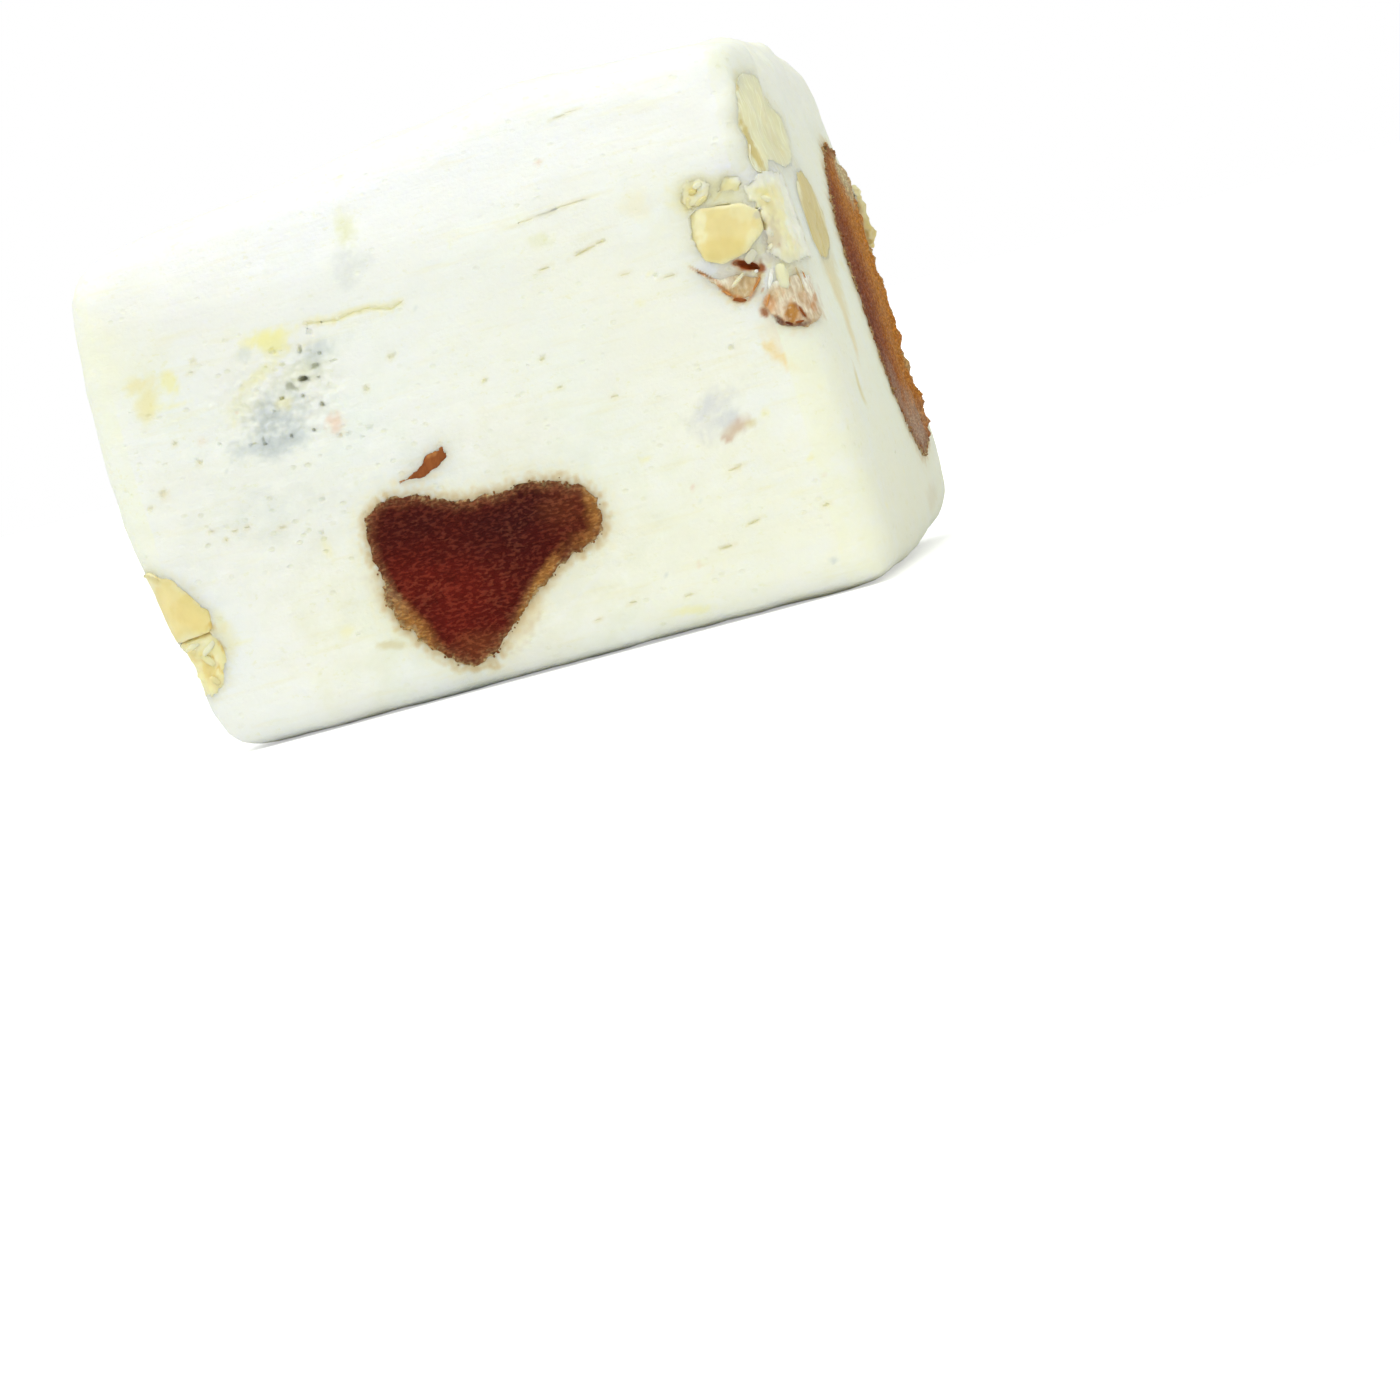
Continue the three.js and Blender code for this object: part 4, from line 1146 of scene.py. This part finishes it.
def make_nut(node, face, tone, marks, block):
    out = FACES[face][2]
    piece = pressed_piece(node, block, NUT_VOXEL, 14 if node in KERNELS else 3)
    if node in SHARP_NUTS:
        displaced(piece, shards(node + "_breaks", 0.45), 0.14 if node in SUNK_CLUSTER else 0.3)
    else:
        displaced(piece, clouds(node + "_wear", 0.8), 0.08)
    cutter = cutter_of(piece, block, 0.4 if node in SUNK_CLUSTER else 0.12)
    painter = Painter(piece, NUT_TONES[tone])
    if node not in SUNK_CLUSTER:
        near = numpy.clip(1 - rim_gaps(piece, side_points(piece, out)) / 0.5, 0, 1)
        painter.blend(0.3 * numpy.clip(2 * near - 1 + painter.broad, 0, 1), NUT_TONES["white"])
    for name, *mark in marks:
        painter.mark(face, NUT_TONES[name], *mark)
    if node in SUNK_CLUSTER:
        displaced(piece, clouds(node + "_crumbs", 0.2), 0.10)
        spotted(painter, NUT_PATCHES, NUT_TONES)
        near = numpy.clip(1.2 - rim_gaps(piece, side_points(piece, out)) / 0.25, 0, 1)
        painter.blend(0.38 * near, NUT_TONES["white"])
        # The flesh pales where it turns to the right end.
        painter.mark("right", NUT_TONES["white"], -8.2, 15.4, 1.1, 2.8, -4, fade=0.3)
    painter.store()
    return piece, cutter


def make_skin(node, face, tone, marks, block):
    piece = pressed_piece(node, block, SKIN_VOXEL, 3)
    displaced(piece, clouds(node + "_torn", 0.4), 0.12)
    cutter = cutter_of(piece, block, 0.12)
    painter = Painter(piece, SKIN_TONES[tone])
    for name, *mark in marks:
        painter.mark(face, SKIN_TONES[name], *mark)
    if node in ("skin_upper", "skin_lower"):
        spotted(painter, SKIN_PATCHES, SKIN_TONES)
        grainy = painter.ripple(0.13)
        painter.blend(0.30 * numpy.clip(2 * grainy - 0.2, 0, 1), SKIN_TONES["pink"])
        painter.blend(0.30 * numpy.clip(-2 * grainy - 0.3, 0, 1), SKIN_TONES["rust"])
    painter.store()
    return piece, cutter


def spotted(painter, rows, tones, under=(1, 1, 1)):
    """Colours the front in patches, over the tone it has already."""
    for name, *row in rows:
        tint = [value / base for value, base in zip(tones[name], under)]
        painter.mark("front", tint, *row, fade=0.45)


def splinter(name, roughness):
    """One uneven block of about unit size, its corners worn."""
    bpy.ops.object.select_all(action="DESELECT")
    bpy.ops.mesh.primitive_cube_add(size=1.7)
    block = bpy.context.object
    block.name = block.data.name = name
    bpy.ops.object.mode_set(mode="EDIT")
    bpy.ops.mesh.subdivide(number_cuts=3)
    bpy.ops.transform.tosphere(value=0.7)
    bpy.ops.object.mode_set(mode="OBJECT")
    texture = clouds(name + "_break", 0.8)
    return finished(block, "DISPLACE", texture=texture, texture_coords="LOCAL", strength=roughness)


def flakes(name, block, rows, tones, seed):
    """Splinters, crumbs and fibres that lie half sunk in a cut face, as one piece."""
    draw = random.Random(seed)
    shapes = [splinter(name + str(i), roughness) for i, roughness in enumerate((0.5, 0.8, 1.1))]
    made = []
    for face, tone, across, up, length, width, turn, lift in rows:
        thick = 0.45 * width + 0.02
        sunk = 0.05 + 0.6 * lift - 0.5 * thick
        place = surface_place(block, face, across, up) + FACES[face][2] * sunk * MM
        sizes = (length, width, thick)
        flake = placed(draw.choice(shapes), turned_to(face, turn, sizes, place))
        Painter(flake, tones[tone]).store()
        made.append(flake)
    for shape in shapes:
        bpy.data.objects.remove(shape)
    return joined(made, name)


# ------------------------------------------------------------------ stage
def camera():
    """The view of the piece: round it, above it and rolled, and shifted in the frame."""
    azimuth, elevation, roll = (math.radians(a) for a in (AZIMUTH, ELEVATION, ROLL))
    back = Vector((
        math.sin(azimuth) * math.cos(elevation),
        -math.cos(azimuth) * math.cos(elevation),
        math.sin(elevation),
    ))
    level = Vector((math.cos(azimuth), math.sin(azimuth), 0))
    rise = back.cross(level)
    right = math.cos(roll) * level + math.sin(roll) * rise
    up = -math.sin(roll) * level + math.cos(roll) * rise
    facing = Matrix((right, up, back)).transposed()
    focal = LENS / SENSOR * FRAME_PIXELS
    middle = FRAME_PIXELS / 2
    seen = Vector((CENTRE_PIXEL[0] - middle, middle - CENTRE_PIXEL[1], -focal))
    swing = Vector((0, 0, -1)).rotation_difference(seen)
    bpy.ops.object.camera_add()
    cam = bpy.context.object
    cam.data.lens = LENS
    cam.data.sensor_width = SENSOR
    cam.data.clip_start = 0.01
    turned = facing @ swing.to_matrix().transposed()
    cam.matrix_world = Matrix.Translation(PIECE_CENTRE + back * DISTANCE) @ turned.to_4x4()
    bpy.context.scene.camera = cam


def soft_sun(name, azimuth, elevation, strength, spread):
    """A broad lamp far off: azimuth 0 shines from the front, elevation is above the floor."""
    turn, rise = math.radians(azimuth), math.radians(elevation)
    towards = Vector((
        math.sin(turn) * math.cos(rise), -math.cos(turn) * math.cos(rise), math.sin(rise),
    ))
    bpy.ops.object.light_add(type="SUN", location=towards)
    light = bpy.context.object
    light.name = name
    light.data.energy = strength
    light.data.angle = math.radians(spread)
    light.rotation_euler = towards.to_track_quat("Z", "Y").to_euler()
    return light


def studio():
    """A soft white room on a pale floor, both brighter to the camera than to the piece."""
    world = bpy.data.worlds.new("studio")
    bpy.context.scene.world = world
    world.use_nodes = True
    tree = world.node_tree
    soft = tree.nodes["Background"]
    soft.inputs["Color"].default_value = (0.96, 1.0, 0.97, 1)
    soft.inputs["Strength"].default_value = 0.57
    seen = tree.nodes.new("ShaderNodeBackground")
    seen.inputs["Color"].default_value = (1, 1, 1, 1)
    seen.inputs["Strength"].default_value = 1.0
    path = tree.nodes.new("ShaderNodeLightPath")
    mix = tree.nodes.new("ShaderNodeMixShader")
    tree.links.new(path.outputs["Is Camera Ray"], mix.inputs[0])
    tree.links.new(soft.outputs[0], mix.inputs[1])
    tree.links.new(seen.outputs[0], mix.inputs[2])
    tree.links.new(mix.outputs[0], tree.nodes["World Output"].inputs["Surface"])
    soft_sun("key", -30, 66, 1.70, 60)
    soft_sun("fill", 75, 60, 0.34, 60)

    bpy.ops.mesh.primitive_plane_add(size=4000 * MM)
    floor = bpy.context.object
    floor.name = "floor"
    finish = Finish("floor")
    clouded = finish.between(finish.noise(60, 2), 0.3, 0.7)
    pale = finish.mix(clouded, (0.85, 0.85, 0.85), (0.87, 0.87, 0.87))
    path = finish.tree.nodes.new("ShaderNodeLightPath")
    lift = finish.times(path.outputs["Is Camera Ray"], 0.45)
    finish.set(Base_Color=pale, Roughness=0.7, Emission_Color=(1, 1, 1), Emission_Strength=lift)
    dress(floor, finish.material)
    floor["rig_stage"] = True
    bpy.context.scene.view_settings.view_transform = "Standard"


# ------------------------------------------------------------------ the whole
def crack_hole(x, z):
    """One of the small holes that make the crack, a little off its line."""
    aside = 0.1 * noise.noise(Vector((9 * x, 0, 0)))
    lifted = 0.1 * noise.noise(Vector((9 * x, 5, 0)))
    height = 0.05 + 0.05 * noise.noise(Vector((1.3 * x, 2, 0)))
    width, turn, depth = 0.17, 10, 0.11
    return "front", x + aside, z + lifted, width, height, turn, depth


def pits_in(block):
    """One cutter for all the holes, slits and pores, the crack and the cavity."""
    holes = [("front", *hole) for hole in HOLES]
    holes += [(face, *slit) for face, rows in SLITS.items() for slit in rows]
    for spread in RANDOM_PORES:
        holes += scattered_holes(*spread)
    holes += [crack_hole(x, z) for x, z in along_line(CRACK, CRACK_STEP)]
    holes.append(("front", *CAVITY))
    return hollows(block, holes)


def stained(block, pieces, beds):
    """Colours the nougat: stains, painted shade inside its holes and the rims of what lies in it."""
    painter = Painter(block, (1, 1, 1))
    for face, marks in MARKS.items():
        for tint, *mark in marks:
            ragged, fade = (0.7, 0.9) if tint in SOFT_EDGED_TINTS else (0.5, 0.65)
            speckle = 0.4 if tint in ("slate", "mauve", "rust", "caramel") else 0
            painter.mark(face, STAINS_AND_PAINTED_LIGHT[tint], *mark, ragged=ragged, fade=fade, speckle=speckle)
    for spread in RANDOM_STAINS:
        for tint, *mark in scattered_marks(*spread):
            painter.mark(spread[0], STAINS_AND_PAINTED_LIGHT[tint], *mark, fade=0.6)
    for face, rows in SLITS.items():
        for across, up, width, height, turn, _ in rows:
            size = (width + 0.05, height + 0.04)
            painter.mark(face, STAINS_AND_PAINTED_LIGHT["ochre"], across, up, *size, turn, 0.3, ragged=0.4, fade=0.6)
    for x, z in along_line(CRACK, CRACK_STEP):
        along = (x, z + 0.05, 0.24, 0.16, 10, 0.4)
        painter.mark("front", STAINS_AND_PAINTED_LIGHT["honey"], *along, ragged=0.6, fade=0.6)
    # Painted shade inside the deeper holes.
    for *hole, depth in HOLES:
        strength = 3 * max(0, depth - PORE_DEPTH)
        painter.mark("front", STAINS_AND_PAINTED_LIGHT["hole_shade"], *hole, strength, ragged=0.4, fade=0.5)
    painter.mark("front", STAINS_AND_PAINTED_LIGHT["wine"], *CAVITY[:2], 0.75, 0.26, CAVITY[4], ragged=0.3)
    sunk = [
        ("jelly" if node in JELLIES else "nut" if node in NUTS else "skin", piece)
        for node, (piece, _) in pieces.items()
    ]
    for kind, piece in sunk + list(beds.items()):
        for tint, reach, strength in HALOS[kind]:
            painter.halo(piece, STAINS_AND_PAINTED_LIGHT[tint], reach, strength)
    spotted(painter, NUT_PATCHES, NUT_TONES, NOUGAT_TONE)
    spotted(painter, SKIN_PATCHES, SKIN_TONES, NOUGAT_TONE)
    painter.mark("front", STAINS_AND_PAINTED_LIGHT["wine"], *CAVITY[:2], 0.6, 0.2, CAVITY[4], ragged=0.3)
    painter.store()
    pinholes = block.data.attributes.new("pinholes", "FLOAT", "POINT")
    for vertex, item in zip(block.data.vertices, pinholes.data):
        item.value = 0.35 + 0.65 * porous_at(vertex.co / MM, vertex.normal)


camera()
studio()

nougat = nougat_block()
finishes = {
    "jelly": jelly_finish(), "skin": skin_finish(),
    "nut": nut_finish("nut", 0.0), "kernel": nut_finish("kernel", 0.5),
}

beds = {}
for name, slot, rows, tones in (
    ("nut_flakes", "nut", NUT_FLAKES, NUT_TONES), ("skin_flakes", "skin", SKIN_FLAKES, SKIN_TONES),
):
    bits = flakes(name, nougat, [("front", *row) for row in rows], tones, FLAKE_SEED)
    beds[name] = bits
    dress(bits, finishes[slot])
    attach(bits, "root")

pits = pits_in(nougat)
pieces = {}
for make, table, slot in (
    (make_jelly, JELLIES, "jelly"), (make_nut, NUTS, "nut"), (make_skin, SKINS, "skin"),
):
    for node, (face, tone, marks) in table.items():
        pieces[node] = make(node, face, tone, marks, nougat)
        cut_by(nougat, pieces[node][1])
        dress(pieces[node][0], finishes["kernel" if node in KERNELS else slot])
for node, (piece, _) in pieces.items():
    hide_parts(node)
    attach(piece, "root")
cut_by(nougat, pits)
nougat = largest_shell(nougat)
stained(nougat, pieces, beds)
dress(nougat, nougat_finish())
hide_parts("nougat")
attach(nougat, "root")

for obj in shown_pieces():
    if "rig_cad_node" not in obj:
        only(obj)
        bpy.ops.object.shade_smooth()
